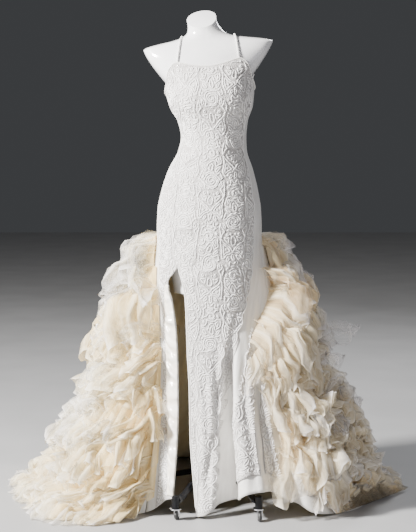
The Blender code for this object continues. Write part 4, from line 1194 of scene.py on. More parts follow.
def in_gore(number):
    """A test for the inside of a gore, narrowing to its point."""
    first, last, top_row, low_row, _ = gore_bounds(number)

    def inside(angle, height):
        edge = first_of(LACE_EDGE, height)
        column = 8.0 * (angle - edge) / (SIDE_SEAM - SEAM_TURN - edge)
        row = ABOVE + SKIRT_ROWS * step_at(angle, height)
        share = np.clip((row - top_row) / (low_row - top_row), 0.0, 1.0)
        half = (last - first) / 2.0 * (0.25 + 0.72 * share ** 0.6)
        near = np.abs(column - (first + last) / 2.0) < half
        return (near & (row > top_row + 0.1) & (row < low_row - 0.1)
                & (height > foot_of(angle) + 0.006))

    return inside


def tapered(place):
    """The same placing function, narrowing upwards."""
    return lambda across, up: place(0.5 + (across - 0.5) * (0.27 + 0.73 * (1.0 - up) ** 0.6), up)


gores, gore_cuts = [], []
for number in (1, 2, 3):
    first, last, top_row, low_row, further = gore_bounds(number)
    window = ((9 + first) / 17.0, (9 + last) / 17.0, 1.0 - low_row / ROWS, 1.0 - top_row / ROWS)
    place = panel(FRONT_LINES, FRONT_COLUMNS, LACE_LIFT + further, window)
    net = grid_mesh(
        f"lace_gore_{number}_net", round((last - first) * 12), (low_row - top_row) * 8,
        with_flat_uv(tapered(place)))
    gore = walled(net, ground, LACE, "lace", f"lace_gore_{number}")
    cords = lace_cords(
        f"lace_gore_{number}_cords", in_gore(number), (0.02, 0.62), (0.0, 0.62),
        ON_LACE + further)
    wear(cords, "lace")
    gores.append((gore, cords))
    smooth = panel(FRONT_LINES, FRONT_COLUMNS, window=window, creased=False)
    gore_cuts.append(cut_of(tapered(smooth)))
print(len(gores), "gores")

# %% [markdown]
# ## The tulle
# Behind the slit and down the train, metres of tulle are gathered on the satin in seven tiers.
# Gathered net never hangs as a flat flounce. Close to the seam it stands in tight pleats, and
# further down it opens into loops that fall over each other, each with its own length and
# lean. So a tier is made of two things: a waved ground strip, and ruffles over it. Both are
# flat grids that a function moves to their place. The random draws are seeded, so it
# is the same dress on every run.
#
# The strip under the ruffles gives the skirt its body. Its lower edge swings in and out in uneven
# loops. The wave grows from the seam down, and it never leaves the room between the satin and
# the outside of the tulle.

# %% Ground strip
LOOP = 0.058
STRIP_FULLNESS, STRIP_NET_DOWN, NET_A_LOOP = 2.0, 0.22, 0.11
ROOM = 0.030
HEM_TURN = (0.40, -0.455, 1.15)


def held_in(points):
    """Points kept in the dress's own room, and behind the turn of the hem on the right."""
    kept = points.copy()
    for axis in (0, 1):
        over = np.maximum(kept[..., axis] - cad_box[1][axis], 0.0)
        under = np.maximum(cad_box[0][axis] - kept[..., axis], 0.0)
        kept[..., axis] += ROOM * (np.tanh(over / ROOM) - np.tanh(under / ROOM)) - over + under
    start, line, slope = HEM_TURN
    back = line + slope * (kept[..., 0] - start) - kept[..., 1]
    low = 1.0 - ramp(kept[..., 2], 0.06, 0.20)
    kept[..., 1] += np.maximum(back, 0.0) * low * ramp(kept[..., 0], start - 0.06, start + 0.04)
    return kept


def strip(start, end, top, bottom, rng, early=0.0, paler=0.0):
    """A placing function, size and cut for the waved strip of a tier."""
    middle = np.linspace(start, end, 40)
    rim = mix(dress(middle, step_at(middle, max(bottom, 0.002))),
              plume(middle, step_at(middle, bottom)), 0.6)
    around = float(np.linalg.norm(np.diff(rim, axis=0), axis=-1).sum())
    low = np.ones(len(middle)) if bottom <= 0.0 else step_at(middle, bottom)
    down = dress(middle, mix(step_at(middle, top), low, np.linspace(0.0, 1.0, 12)[:, None]))
    strip_depth = float(np.linalg.norm(np.diff(down, axis=0), axis=-1).sum(axis=0).mean())
    loops = max(4, round(around / LOOP))
    widths = 1.0 + 0.45 * rng.uniform(-1.0, 1.0, loops)
    marks = np.concatenate([[0.0], np.cumsum(widths)]) / widths.sum()
    long, deep, lean = rng.uniform(-1.0, 1.0, (3, loops + 1))
    start -= early

    def place(across, up):
        down, phase = 1.0 - up, across * loops
        whole = np.arange(loops + 1)
        flat_angle = mix(start, end, np.interp(phase, whole, marks))
        outer = 0.5 - 0.5 * np.cos(math.tau * phase)
        calm = np.clip(6.0 * np.minimum(across, 1.0 - across), 0.0, 1.0)
        width = abs(end - start) / loops
        slide = 0.28 * np.sin(2.0 * math.tau * phase) + 0.25 * np.interp(phase, whole, lean)
        angle = flat_angle + width * slide * calm * down
        angle = np.clip(angle, min(start, end), max(start, end))
        reach = down * (1.0 + 0.15 * np.interp(phase, whole, long) + 0.08 * (outer - 0.5))
        low_step = np.ones(flat_angle.shape) if bottom <= 0.0 else step_at(flat_angle, bottom)
        step = np.clip(mix(step_at(flat_angle, top), low_step, reach), -1.0, 1.0)
        out = mix(0.10, 0.72, np.clip(outer + 0.2 * np.interp(phase, whole, deep), 0.0, 1.0))
        out = out * down ** 0.5 * mix(0.25, 1.0, calm)
        inner, outside = cloth_point(angle, step, 0.0010), plume(angle, step)
        points = mix(inner, outside, out[..., None]) + 0.004 * unit(outside - inner + 1e-6)
        points = held_in(points)
        points[..., 2] = np.maximum(points[..., 2], 0.0030 + 0.002 * outer)
        paint = {
            "uv": np.stack([across * around * STRIP_FULLNESS, down * STRIP_NET_DOWN], axis=-1),
            # Painted shade: depth is low, tan, near the seam and in the inward loops, and higher,
            # paler, down the outward loops.
            "depth": 0.20 + 0.35 * outer * down + paler,
            "clear": 0.06 + 0.20 * down,
        }
        return points, paint

    return place, (loops * 8, 9), (around * STRIP_FULLNESS, strip_depth)


# %% [markdown]
# ## A ruffle
# A ruffle is a length of net gathered on a short line. Close to the line its pleats are fine.
# Towards the rim they join into wide loops that swing out, in and over each other. The line may
# run at any slant, because the net is bunched by hand and not sewn in level rings. A ruffle is
# a grid: its columns follow the gathered line, and its rows go from the line to the rim.

# %% Ruffle
RUFFLE_ROWS = 11
COLUMNS_A_LOOP = 9
WAVES = np.random.default_rng(11).normal(size=(9, 3))
WAVES = unit(WAVES) * np.linspace(50.0, 210.0, 9)[:, None]
PUSHES = unit(np.random.default_rng(12).normal(size=(9, 3)))
PHASES = np.random.default_rng(13).uniform(0.0, math.tau, 9)


def rumple(points, size):
    """Points pushed about softly, the same for neighbours, as crushed net lies."""
    moved = points.copy()
    for wave, push, phase in zip(WAVES, PUSHES, PHASES):
        high_wave = 85.0 / np.linalg.norm(wave)
        moved += (size * high_wave * np.sin(points @ wave + phase))[..., None] * push
    return moved


def slow_wave(share, marks):
    """An uneven wave along a ruffle, from three random marks."""
    return (np.sin(math.tau * (1.3 * share + marks[0]))
            + 0.7 * np.sin(math.tau * (2.9 * share + marks[1]))
            + 0.5 * np.sin(math.tau * (5.3 * share + marks[2]))) / 2.2


def ruffle(angle, step, base, long, tilt, lean, from_out, to_out, rng, edge=0.0, calm=0.0):
    """A placing function, size and cut for one ruffle of tulle."""
    spot = np.array([angle - 0.5, angle + 0.5])
    degree = float(np.linalg.norm(np.diff(plume(spot, step), axis=0)))
    loops = max(2.6, base / mix(rng.uniform(0.032, 0.066), 0.056, calm))
    marks = rng.uniform(0.0, 1.0, (6, 3))
    swing, height = rng.uniform(0.06, 0.15), rng.uniform(0.010, 0.022) * (1.0 - 0.45 * calm)
    belly, droop, tone = rng.uniform(0.06, 0.30), rng.uniform(0.0, 0.16), rng.uniform(-1.0, 1.0)
    arch = rng.uniform(-0.06, 0.03)
    slant, turn = math.radians(tilt), math.radians(lean)
    cross = rng.uniform(-3.5, 3.5, 3) * (1.0 - 0.6 * calm)

    def place(across, up):
        v = (1.0 - up) ** 0.85
        line = across - 0.5
        here = angle + line * base * math.cos(slant) / degree
        start = step + line * base * math.sin(slant) / 1.0 + arch * (4.0 * line ** 2 - 0.5)
        start = np.clip(start, -0.004, 0.97)
        far = np.clip(start + long / 0.95, -1.0, 1.0)
        tuck = ramp(v, 0.0, 0.26) * (from_out + 0.12 * slow_wave(across, marks[0]))
        first = mix(cloth_point(here, start, 0.0015), plume(here, start), (0.02 + tuck)[..., None])
        outer = to_out + 0.10 * slow_wave(across, marks[1])
        last = mix(dress(here, far), plume(here, far), outer[..., None])
        side = unit(plume(here + 0.5, start) - plume(here - 0.5, start))
        way = last - first
        length = np.maximum(np.linalg.norm(way, axis=-1), 0.7 * long)
        way = unit(way)
        side = unit(side - way * (side * way).sum(axis=-1, keepdims=True))
        out = unit(np.cross(side, way))
        away = plume(here, start) - dress(here, start)
        out = np.where((out * away).sum(axis=-1, keepdims=True) < 0.0, -out, out)
        room = np.linalg.norm(away, axis=-1) * mix(0.02 + tuck, outer, v)
        c, s = math.cos(turn), math.sin(turn)
        way, side = way * c + side * s, side * c - way * s
        phase = math.tau * loops * (across + 0.045 * slow_wave(across, marks[2])) + 0.8 * v
        loop = (0.8 * np.cos(phase) + 0.50 * np.cos(1.63 * phase + 5.0 * marks[3, 0] + cross[0] * v)
                + 0.34 * np.cos(2.71 * phase + 5.0 * marks[3, 1] + cross[1] * v))
        size = 1.0 + 0.45 * slow_wave(1.7 * across, marks[3])
        fine = np.cos(3.1 * phase + 4.0 * marks[4, 0]) * np.exp(-((v - 0.35) / 0.3) ** 2)
        small = np.cos(4.7 * phase + 5.0 * marks[4, 1] + 2.0 * cross[2] * v) * (0.3 + 0.7 * v)
        raised = height * size * loop * v ** 0.75 + 0.0028 * fine + 0.0018 * small
        raised = raised + belly * length * np.sin(math.pi * v ** 0.8) - droop * length * v ** 3
        slide = base / loops * swing * np.sin(2.0 * phase + 0.6 + 0.5 * cross[0] * v) * v * size
        ends = ramp(np.minimum(across, 1.0 - across), 0.0, 0.14)
        reach = (v * (1.0 + 0.14 * slow_wave(across, marks[5]) + 0.05 * loop * v)
                 * (0.62 + 0.38 * ends))
        raised = raised - 0.020 * (1.0 - ends) * v
        raised = np.maximum(raised, -0.8 * room)
        points = (first + way * (length * reach)[..., None]
                  + side * slide[..., None] + out * raised[..., None])
        points = held_in(rumple(points, 0.0046 * ramp(v, 0.0, 0.3)))
        floor = 0.0030 + 0.0016 * (1.2 + loop)
        under = points[..., 2] < floor
        pressed = floor + 0.05 * np.abs(points[..., 2] - floor)
        points[..., 2] = np.where(under, pressed, points[..., 2])
        hem = ramp(v, 0.91, 0.99)
        # Painted shade and light on the net's own cream: low depth, tan, near the gather and in
        # inward loops is painted shade; high depth, pale to white, on outward loops and the rim is
        # painted light; tone and edge shift it further.
        depth = 0.26 + 0.24 * v + 0.13 * loop + 0.08 * fine + 0.16 * tone + 0.20 * edge + 0.16 * hem
        clear = ((0.34 + 0.34 * v - 0.14 * loop + 0.16 * edge + 0.06 * tone)
                 * (1.0 - 0.55 * hem) + 0.22 * (1.0 - ends))
        paint = {
            "uv": np.stack([across * loops * NET_A_LOOP + 3.0 * marks[0, 0], v * length], axis=-1),
            "depth": np.clip(depth, 0.0, 1.0), "clear": np.clip(clear, 0.04, 0.85),
        }
        return points, paint

    grid = (int(loops * COLUMNS_A_LOOP) + 4, RUFFLE_ROWS)
    return place, grid, (float(loops) * NET_A_LOOP, float(long))


print("a ruffle has", RUFFLE_ROWS, "rows and", COLUMNS_A_LOOP, "columns a loop")

# %% [markdown]
# ## The net's finish
# One layer of tulle is nearly clear, and many layers together turn cream; here its tan in the
# depths is painted shade, and the right side has a darker, greyer copy of the finish as painted
# shade. The shader mixes a Transparent part with a Principled one, and a Translucent part lets
# light through. Each grid carries two values, its depth in the heap, which sets the painted shade,
# and how clear it is. Fine streaks follow the pleats.

# %% Tulle finish
def attribute(material, name):
    """A value stored on the mesh."""
    return node(material, "Attribute", attribute_name=name).outputs["Fac"]


def maths(material, operation, *values, clamp=False):
    """A Math node on sockets or numbers."""
    made = node(material, "Math", operation=operation, use_clamp=clamp)
    for index, value in enumerate(values):
        if isinstance(value, (int, float)):
            made.inputs[index].default_value = value
        else:
            link(material, value, made.inputs[index])
    return made.outputs[0]


def tulle_finish(name, deep, middle, pale, edge):
    """A net with deep, middle, pale and edge tones; the deeper tones are painted shade."""
    material, shader = finish(name, pale, 0.70, sheen=0.9)
    shader.inputs["Sheen Roughness"].default_value = 0.35
    tones = node(material, "ValToRGB")
    tones.color_ramp.elements[0].position = 0.08
    tones.color_ramp.elements[0].color = (*deep, 1.0)
    tones.color_ramp.elements[1].position = 0.90
    tones.color_ramp.elements[1].color = (*edge, 1.0)
    for position, colour in ((0.34, middle), (0.62, pale)):
        tones.color_ramp.elements.new(position).color = (*colour, 1.0)
    streaks = node(material, "TexNoise", in_Scale=1.0, in_Detail=4.0,
                   in_Roughness=0.6, in_Distortion=1.4)
    link(material, pattern_place(material, (170.0, 20.0, 1.0)), streaks.inputs["Vector"])
    drift = maths(material, "MULTIPLY_ADD", streaks.outputs["Fac"], 0.50, -0.25)
    place = maths(material, "ADD", attribute(material, "depth"), drift, clamp=True)
    link(material, place, tones.inputs["Fac"])
    link(material, tones.outputs["Color"], shader.inputs["Base Color"])
    raise_from(material, shader, streaks.outputs["Fac"], 0.0030, 0.8)
    light = node(material, "BsdfTranslucent")
    link(material, tones.outputs["Color"], light.inputs["Color"])
    through = node(material, "MixShader", in_Fac=0.20)
    link(material, shader.outputs["BSDF"], through.inputs[1])
    link(material, light.outputs["BSDF"], through.inputs[2])
    open_part = node(material, "BsdfTransparent")
    mixed = node(material, "MixShader")
    veil = maths(material, "MULTIPLY_ADD", streaks.outputs["Fac"], -0.60, 0.30)
    clear = maths(material, "ADD", attribute(material, "clear"), veil, clamp=True)
    link(material, clear, mixed.inputs["Fac"])
    link(material, through.outputs[0], mixed.inputs[1])
    link(material, open_part.outputs[0], mixed.inputs[2])
    link(material, mixed.outputs[0], material.node_tree.nodes["Material Output"].inputs["Surface"])
    return material


# Painted light and shade: two copies of one net, the left one lighter and the right one darker and
# greyer, as the sides look lit and in shade.
tulle_left_lit = tulle_finish(
    "tulle_left_lit", (0.90, 0.63, 0.26), (0.99, 0.81, 0.45), (0.99, 0.89, 0.65), (0.98, 0.95, 0.92))
tulle_right_shaded = tulle_finish(
    "tulle_right_shaded", (0.80, 0.56, 0.29), (0.94, 0.78, 0.49), (0.94, 0.85, 0.68), (0.92, 0.89, 0.89))
print("tulle finishes made")

# %% [markdown]
# ## Sewing on the tiers
# Each tier carries a few rows of ruffles, and the rows are shifted, so that no gap lines up. A
# row is found by its share of the way from the tier's top to its lower edge, so the rows of the
# train run out along the floor. By the front edges of the cascade the net hangs long and calm.

# %% Tiers
RISES = (0.00, 0.34, 0.66)
HEM_RISES = (0.00, 0.24, 0.46, 0.66, 0.84)
RUFFLE_EVERY = 0.132
PUFFS = (
    # tier, angle, share of the tier, base, long, tilt, lean, to_out, edge
    (1, -94.0, 0.00, 0.09, 0.080, 10.0, -8.0, 0.46, 2.4),
    (1, -90.0, 0.14, 0.08, 0.080, -16.0, -6.0, 0.42, 2.2),
    (1, -100.0, 0.76, 0.11, 0.100, 14.0, -20.0, 1.12, 2.4),
    (1, -97.0, 0.88, 0.10, 0.100, -20.0, -26.0, 1.22, 2.0),
    (3, 66.0, 0.08, 0.115, 0.170, 4.0, 4.0, 0.80, 0.2),
    (3, 59.0, 0.26, 0.120, 0.150, -22.0, 8.0, 0.86, 0.5),
    (2, -98.0, 0.55, 0.15, 0.110, -20.0, -20.0, 1.12, 1.8),
    (3, -100.0, 0.50, 0.15, 0.120, 20.0, -24.0, 1.10, 1.8),
    (1, 95.0, 0.00, 0.08, 0.075, -16.0, 10.0, 0.74, 1.8),
    (1, 100.0, 0.36, 0.16, 0.120, -26.0, 20.0, 1.05, 1.8),
    (2, 99.0, 0.26, 0.12, 0.110, 24.0, 30.0, 1.22, 1.6),
    (3, 97.0, 0.90, 0.100, 0.120, -14.0, 22.0, 1.62, 2.4),
    (4, 98.0, 0.60, 0.14, 0.120, 30.0, 30.0, 1.12, 1.5),
    (6, 103.0, 0.45, 0.15, 0.130, 30.0, 34.0, 1.10, 1.5),
    (5, -101.0, 0.50, 0.18, 0.110, 30.0, -20.0, 1.10, 1.8),
    (6, -112.0, 0.70, 0.18, 0.130, -30.0, -34.0, 1.10, 1.6),
    (4, -99.0, 0.60, 0.15, 0.110, -24.0, -24.0, 1.10, 1.8),
    (5, 100.0, 0.70, 0.14, 0.120, 24.0, 30.0, 1.12, 1.5),
)
OVERLAP = (
    # degrees past the front line of the tier on the left and on the right, one row for each tier
    (0.0, 3.0), (0.0, 15.0), (1.0, 20.0), (1.0, 10.0), (1.0, -2.0), (3.0, -6.0), (9.0, -8.0),
)
BACK_END, TIER_SAMPLES = 179.6, 80


def tier_steps(angles, share, top, bottom):
    """Steps of a row of a tier at some angles."""
    low_step = np.ones(len(angles)) if bottom <= 0.0 else step_at(angles, bottom)
    return mix(step_at(angles, top), low_step, share)


def tier_ruffles(number, side_name, start, end, top, bottom, rng):
    """Placing functions, sizes and cuts of a tier's ruffles."""
    made = []
    front = start if abs(start) < abs(end) else end
    angles = np.linspace(start, end, TIER_SAMPLES)
    for row, rise in enumerate(HEM_RISES if bottom <= 0.0 else RISES):
        steps = tier_steps(angles, rise, top, bottom)
        spots = mix(dress(angles, steps), plume(angles, steps), 0.7)
        run = run_along(spots)
        count = max(2, round(run[-1] / RUFFLE_EVERY))
        for place_number in range(count):
            part = (place_number + 0.5 * (row % 2) + 0.35 * rng.uniform(-1.0, 1.0) + 0.25) / count
            angle = float(np.interp(np.clip(part, 0.02, 0.98) * run[-1], run, angles))
            calm = 1.0 - float(np.interp(abs(angle - front), (0.0, 11.0), (0.0, 1.0)))
            share = rise + rng.uniform(-0.12, 0.12)
            step = float(tier_steps(np.array([angle]), share, top, bottom)[0])
            base, long = rng.uniform(0.17, 0.32), rng.uniform(0.090, 0.160)
            tilt, lean = rng.uniform(-52.0, 52.0), rng.uniform(-44.0, 44.0)
            from_out, to_out = rng.uniform(0.15, 0.50), rng.uniform(0.72, 0.98)
            if number == 1:
                to_out *= ((0.28, 0.30, 0.46) if side_name == "left" else (0.46, 0.60, 0.85))[row]
            higher = {1: 0.45 if side_name == "left" else 0.85, 2: 0.15}.get(number, 0.0)
            at_side = 84.0 < abs(angle) < 128.0
            edge = higher + (rng.uniform(0.0, 1.0) if at_side else rng.uniform(-0.3, 0.3))
            if calm > 0.0:
                base, long = mix(base, 0.12, calm), mix(long, 0.24, calm)
                tilt, edge = tilt * (1.0 - calm), mix(edge, -0.3, calm)
                lean = mix(lean, math.copysign(0.35 * abs(lean) + 2.0, front), calm)
            pair = plume(np.array([angle - 0.5, angle + 0.5]), step)
            degree = float(np.linalg.norm(pair[1] - pair[0]))
            past = OVERLAP[number - 1][0 if side_name == "left" else 1]
            half = 0.5 * base * math.cos(math.radians(tilt)) / degree
            reach = half - past - rng.uniform(-2.0, 2.0)
            if abs(angle - front) < reach:
                angle = front + math.copysign(reach, front)
            made.append(ruffle(
                angle, step, base, long, tilt, lean, from_out, to_out, rng, edge, calm))
    for tier, angle, share, base, long, tilt, lean, to_out, edge in PUFFS:
        if tier == number and angle * (start + end) > 0.0:
            step = float(tier_steps(np.array([angle]), share, top, bottom)[0])
            made.append(ruffle(angle, step, base, long, tilt, lean, 0.6, to_out, rng, edge))
    return made


for number, (top, bottom, left, right) in enumerate(TIERS, start=1):
    for side, start, end, material in (
            ("left", -BACK_END, left, tulle_left_lit), ("right", right, BACK_END, tulle_right_shaded)):
        rng = np.random.default_rng(100 * number + (7 if side == "left" else 3))
        behind = (0.0, -4.0) if side == "left" else (18.0 if number == 1 else 9.0, 0.0)
        early, paler = (11.0, 0.30) if number == 1 and side == "right" else (0.0, 0.0)
        made = [strip(start + behind[0], end + behind[1], top, bottom, rng, early, paler)]
        made += tier_ruffles(number, side, start, end, top, bottom, rng)
        places, sizes, cuts = zip(*made)
        mesh = grids_mesh(f"tulle_{number}_{side}_net", sizes, places)
        thing = wear(new_object(mesh.name, mesh, material), "tulle", f"tulle_{number}_{side}")
        print(mesh.name, len(places) - 1, "ruffles,", len(mesh.polygons) * 2, "triangles,",
              round(area_of(mesh), 2), "square metres")

# %% [markdown]
# ## The form
# The dress form is a smooth limbless torso in glossy white. Its arms and neck end in flat
# slanted caps, and its thighs in a flat one. A grid is bent round the body, and its placing
# function holds the arm ends flat. Then bisect_plane cuts the neck, the open ends are filled
# and a bevel rounds their rims, as the moulder's finisher does.

# %% Form
FORM_EASE = SATIN + 0.0025
FORM_BOTTOM, THIGH_TAPER, THIGH_TOP, FORM_BUST = 0.685, 0.72, 0.90, 0.55
NECK_CAP, NECK_CAP_NORMAL = (-0.0185, -0.015, 1.525), (-0.15, -0.56, 0.81)
ARM_CAP_HALF, ARM_CAP_HEIGHT, ARM_CAP_TOP, ARM_CAP_SLOPE = 0.139, 1.339, 1.462, 0.62
CAP_ROUND = 0.0140


def form_place(across, up):
    """Points of the form before its caps are cut."""
    angle, height = 360.0 * across - 180.0, mix(FORM_BOTTOM, 1.60, up)
    points = body(angle, height, -FORM_EASE, FORM_BUST)
    centre_x = first_of(FIGURE, height)
    taper = mix(THIGH_TAPER, 1.0, ramp(height, FORM_BOTTOM, THIGH_TOP))
    points[..., 0] = centre_x + (points[..., 0] - centre_x) * taper
    points[..., 1] = AXIS_Y + (points[..., 1] - AXIS_Y) * taper
    limit = ARM_CAP_HALF + (height - ARM_CAP_HEIGHT) * ARM_CAP_SLOPE
    limit = np.where(height > ARM_CAP_TOP, limit + 0.5 * (height - ARM_CAP_TOP), limit)
    size = np.abs(points[..., 0])
    soft = -CAP_ROUND * np.logaddexp(-size / CAP_ROUND, -limit / CAP_ROUND)
    capped = np.where(height > ARM_CAP_HEIGHT - 0.02, np.maximum(soft, 0.0), size)
    held = np.sign(points[..., 0]) * capped
    points[..., 2] += SHOULDER_TILT * (held - points[..., 0])
    points[..., 0] = held
    return points, {"uv": np.stack([across, up], axis=-1)}


def rounded_form():
    """The form with its neck and thighs cut flat and their rims rounded."""
    rough = grid_mesh("form_rough", 96, 190, form_place)
    shell = bmesh.new()
    shell.from_mesh(rough)
    bmesh.ops.remove_doubles(shell, verts=shell.verts, dist=1e-5)
    centre = Vector(NECK_CAP) + Vector((0.0, AXIS_Y, 0.0))
    everything = shell.verts[:] + shell.edges[:] + shell.faces[:]
    bmesh.ops.bisect_plane(
        shell, geom=everything, plane_co=centre, plane_no=Vector(NECK_CAP_NORMAL), clear_outer=True)
    rims = [edge for edge in shell.edges if edge.is_boundary]
    caps = bmesh.ops.holes_fill(shell, edges=rims, sides=0)["faces"]
    bmesh.ops.recalc_face_normals(shell, faces=shell.faces)
    edges = list({edge for face in caps for edge in face.edges})
    bmesh.ops.bevel(shell, geom=edges, offset=0.0035, offset_type="OFFSET", segments=3, profile=0.5,
                    affect="EDGES", material=-1, clamp_overlap=True)
    mesh = bpy.data.meshes.new("form_body")
    shell.to_mesh(mesh)
    shell.free()
    bpy.data.meshes.remove(rough)
    mesh.shade_smooth()
    mesh.set_sharp_from_angle(angle=math.radians(35.0))
    return mesh


form = wear(new_object("form_body", rounded_form(), form_gloss), "form_gloss", "form")
print("form", len(form.data.polygons), "faces")

# %% [markdown]
# ## Straps
# The spaghetti straps are corded tubes, about five millimetres wide, that leave the neckline
# over each bust and cross the shoulder. Two thin cords twisted together give them their rope
# look, so two strands are wound round one route.

# %% Straps
STRAP_RADIUS = 0.0022
STRAP_POINTS = 60
STRAP_LIFT = STRAP_RADIUS + 0.0016
STRAP_FRONT_ANGLE, STRAP_BACK_ANGLE = 29.0, 148.0
STRAP_BASE_X, STRAP_TOP_X, STRAP_BACK_X = 0.093, 0.080, 0.068
STRAP_END_GAP = 0.0028
STRAND_AWAY, STRAND_RADIUS, STRAND_PITCH, ROUTE_STEP = 0.0010, 0.0014, 0.011, 0.0016


def skin_point(height, x, ahead):
    """Points of the form's skin at a height and x, in front (1) or behind (-1)."""
    centre_x, half_width, front, back = np.moveaxis(between(FIGURE, height), -1, 0)
    depth = (front if ahead > 0.0 else back) - FORM_EASE
    across = np.minimum(np.abs(x - centre_x) / (half_width - FORM_EASE), 1.0)
    y = AXIS_Y - ahead * depth * np.sqrt(1.0 - across ** 2)
    return np.stack([x, y, height + SHOULDER_TILT * x * ramp(height, TILT_FROM, TILT_TO)], axis=-1)


def shoulder_height(x):
    """Height at which the form's shoulder passes under a given x."""
    heights = np.linspace(ARM_CAP_TOP, NECK_CAP[2], 4000)
    rows = between(FIGURE, heights)
    wide = rows[:, 1] - FORM_EASE > abs(x - rows[:, 0])
    return float(heights[np.nonzero(wide)[0][-1]])


def strap_route(side):
    """Middle of a strap, on one side of the body."""
    front = float(between(NECKLINE, np.array([STRAP_FRONT_ANGLE]))[0, 0]) + STRAP_END_GAP
    back = float(between(NECKLINE, np.array([STRAP_BACK_ANGLE]))[0, 0]) + STRAP_END_GAP
    top = shoulder_height(STRAP_TOP_X * side)
    share = np.linspace(0.0, 1.0, STRAP_POINTS)
    rise = skin_point(mix(front, top, np.sin(share * math.pi / 2.0)),
                      mix(STRAP_BASE_X, STRAP_TOP_X, share) * side, 1.0)
    share = share[1:]
    drop_back = skin_point(mix(top, back, 1.0 - np.cos(share * math.pi / 2.0)),
                           mix(STRAP_TOP_X, STRAP_BACK_X, share) * side, -1.0)
    skin = np.concatenate([rise, drop_back])
    along = np.gradient(skin, axis=0)
    out = unit(np.stack([np.zeros(len(skin)), -along[:, 2], along[:, 1]], axis=-1))
    return skin + out * STRAP_LIFT


def even_route(points, step):
    """The same route with points a step apart."""
    run = run_along(points)
    marks = np.linspace(0.0, run[-1], max(2, round(run[-1] / step)))
    return np.stack([np.interp(marks, run, points[:, i]) for i in range(3)], axis=-1)


def twisted(points, radius, pitch):
    """Two strands wound round a route."""
    along = unit(np.gradient(points, axis=0))
    side = unit(np.cross(along, np.array([1.0, 0.15, 0.1])))
    other = np.cross(along, side)
    run = run_along(points)
    strands = []
    for start in (0.0, math.pi):
        turn = (run / pitch * math.tau + start)[:, None]
        strands.append((points + radius * (np.cos(turn) * side + np.sin(turn) * other), False))
    return strands


for side, name in ((-1.0, "strap_left"), (1.0, "strap_right")):
    strands = twisted(even_route(strap_route(side), ROUTE_STEP), STRAND_AWAY, STRAND_PITCH)
    strap = cord_mesh(name + "_cord", strands, STRAND_RADIUS, thread, 1)
    wear(strap, "lace", name)
    print(strap.name, len(strap.data.polygons), "faces")

# %% [markdown]
# ## Binding, piping and edge cord
# The neckline has a bound edge, the free edge of the front panel a satin piping, and the lace's
# scalloped edge a cord. Each is one round cord that follows its line over the cloth.

# %% Bindings
def edge_cord(name, angle, height, lift, radius, material, slot, sides=1, closed=False):
    """A cord laid along a line of angles and heights on the cloth."""
    line = cloth_point(angle, step_at(angle, height), lift)
    return wear(cord_mesh(name, [(line, closed)], radius, material, sides), slot)


around = np.arange(-180.0, 180.0, 1.0)
neck = first_of(NECKLINE, around) - 0.0005
binding = edge_cord("neckline_binding", around, neck, 0.0014, 0.0019, satin, "satin", closed=True)
heights = np.linspace(0.030, 0.776, 260)
edge = first_of(SLIT_FRONT_EDGE, heights) + 0.2
heights = np.maximum(heights, foot_of(edge) + 0.002)
piping = edge_cord("slit_piping", edge, heights, 0.0012, 0.0024, satin, "satin")
heights = np.linspace(0.060, 1.352, 500)
edge = first_of(LACE_EDGE, heights)
edge = edge + np.where(heights < 1.0, scallop(heights) - 0.4, 0.3)
heights = np.maximum(heights, foot_of(edge) + 0.004)
trim = edge_cord("lace_edge_cord", edge, heights, ON_LACE, 0.0017, thread, "lace", sides=0)
print("binding, piping and edge cord made")

# %% [markdown]
# ## The stand
# Five black legs run out from a hub to castors, each with a chrome fork and a black wheel. The
# CAD nodes have the right shapes, so they stay and only get their finishes.

# %% Stand finishes
def paint(name, material):
    """A CAD node gets a finish."""
    for slot in bpy.data.objects[name].material_slots:
        slot.material = material
    return name


painted = []
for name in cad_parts:
    if name.startswith("fork_"):
        painted.append(paint(name, chrome))
    elif name.startswith("wheel_"):
        painted.append(paint(name, tyre))
    elif name.startswith(("leg_", "socket_")) or name in ("hub", "pole", "form_flange"):
        painted.append(paint(name, stand_black))
print(len(painted), "stand parts finished")

# %% [markdown]
# ## Sheets of cloth
# A panel's cut is its smooth surface laid out flat, before any crease or pucker is added. A
# tier of tulle is cut as strips, one for its ground and one for each ruffle. Each strip is as
# long as its loops take up and as deep as the ruffle.


def panel_cut(lines, counts, **more):
    """The cut of a panel, or of a window of it."""
    return cut_of(panel(lines, counts, creased=False, **more))


front_cut = panel_cut(NET_LINES, FRONT_COLUMNS, window=(0.0, edge_share, 0.0, 1.0), edge=scalloped)
side_cut = panel_cut(SIDE_LINES, SIDE_COLUMNS, window=(0.2, 1.0, 0.0, 1.0))
for name, lines, counts in PANELS:
    panel_cut(lines, counts)
cut_of(facing_flat)

# %% [markdown]
# ## Floor, light and camera
# The dress stands on a plain pale floor under soft studio light. The main light is high on the
# left, a weak one fills the right, and one behind brightens the edges of the tulle.

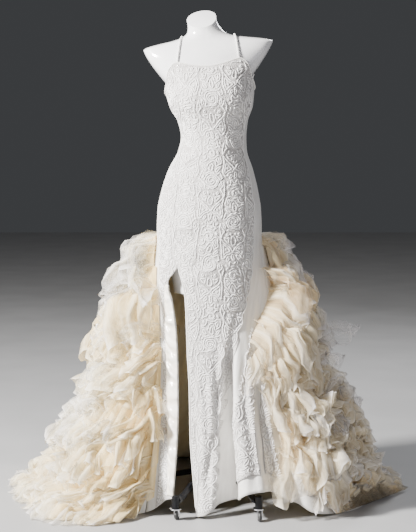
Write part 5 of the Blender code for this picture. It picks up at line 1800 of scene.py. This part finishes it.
# %% Stage
floor_finish, _, _ = speckled(
    "floor", (0.34, 0.34, 0.35), 0.55, (3.0, 2.0),
    ((0.325, 0.325, 0.33), (0.36, 0.36, 0.365)), None)
slab = bmesh.new()
bmesh.ops.create_grid(slab, x_segments=1, y_segments=1, size=12.0)
floor_mesh = bpy.data.meshes.new("floor")
slab.to_mesh(floor_mesh)
slab.free()
floor = new_object("floor", floor_mesh, floor_finish)

world = bpy.data.worlds.new("studio")
bpy.context.scene.world = world
world.use_nodes = True
backdrop = world.node_tree.nodes["Background"]
backdrop.inputs["Color"].default_value = (0.90, 0.94, 1.0, 1.0)
backdrop.inputs["Strength"].default_value = 0.055

LIGHTS = (
    # name, x, y from the axis, z, height aimed at, size, power, colour
    ("key", -3.3, -1.80, 2.9, 0.75, 0.6, 1180.0, (1.0, 0.98, 0.95)),
    ("front", 0.4, -3.6, 2.2, 0.6, 1.2, 25.0, (1.0, 0.99, 0.98)),
    ("fill", 2.8, -1.6, 1.6, 0.7, 1.6, 13.0, (0.90, 0.88, 1.0)),
    ("rim", 1.4, 3.0, 2.8, 0.6, 1.2, 70.0, (0.97, 0.98, 1.0)),
)
for name, x, y, z, aim, size, power, colour in LIGHTS:
    lamp = bpy.data.lights.new(name, "AREA")
    lamp.shape, lamp.size, lamp.energy, lamp.color = "SQUARE", size, power, colour
    place = Vector((x, AXIS_Y + y, z))
    light = bpy.data.objects.new(name, lamp)
    light.location = place
    light.rotation_euler = (Vector((0.0, AXIS_Y, aim)) - place).to_track_quat("-Z", "Y").to_euler()
    bpy.context.scene.collection.objects.link(light)

FILM_WIDTH, LENS_LENGTH = 36.0, 90.947368
CAMERA_AWAY, CAMERA_HEIGHT, CAMERA_TILT = 4.2, 1.17, 5.48
lens = bpy.data.cameras.new("camera")
lens.sensor_width, lens.sensor_fit, lens.lens = FILM_WIDTH, "AUTO", LENS_LENGTH
camera = bpy.data.objects.new("camera", lens)
camera.location = (0.0, AXIS_Y - CAMERA_AWAY, CAMERA_HEIGHT)
camera.rotation_euler = (math.radians(90.0 - CAMERA_TILT), 0.0, 0.0)
bpy.context.scene.collection.objects.link(camera)
bpy.context.scene.camera = camera
print("lens", round(lens.lens, 1), "mm")

# %% [markdown]
# ## The end
# Nothing more is added after this. The looks may stand a little proud of the CAD, but not
# outgrow it.


print("scene built")
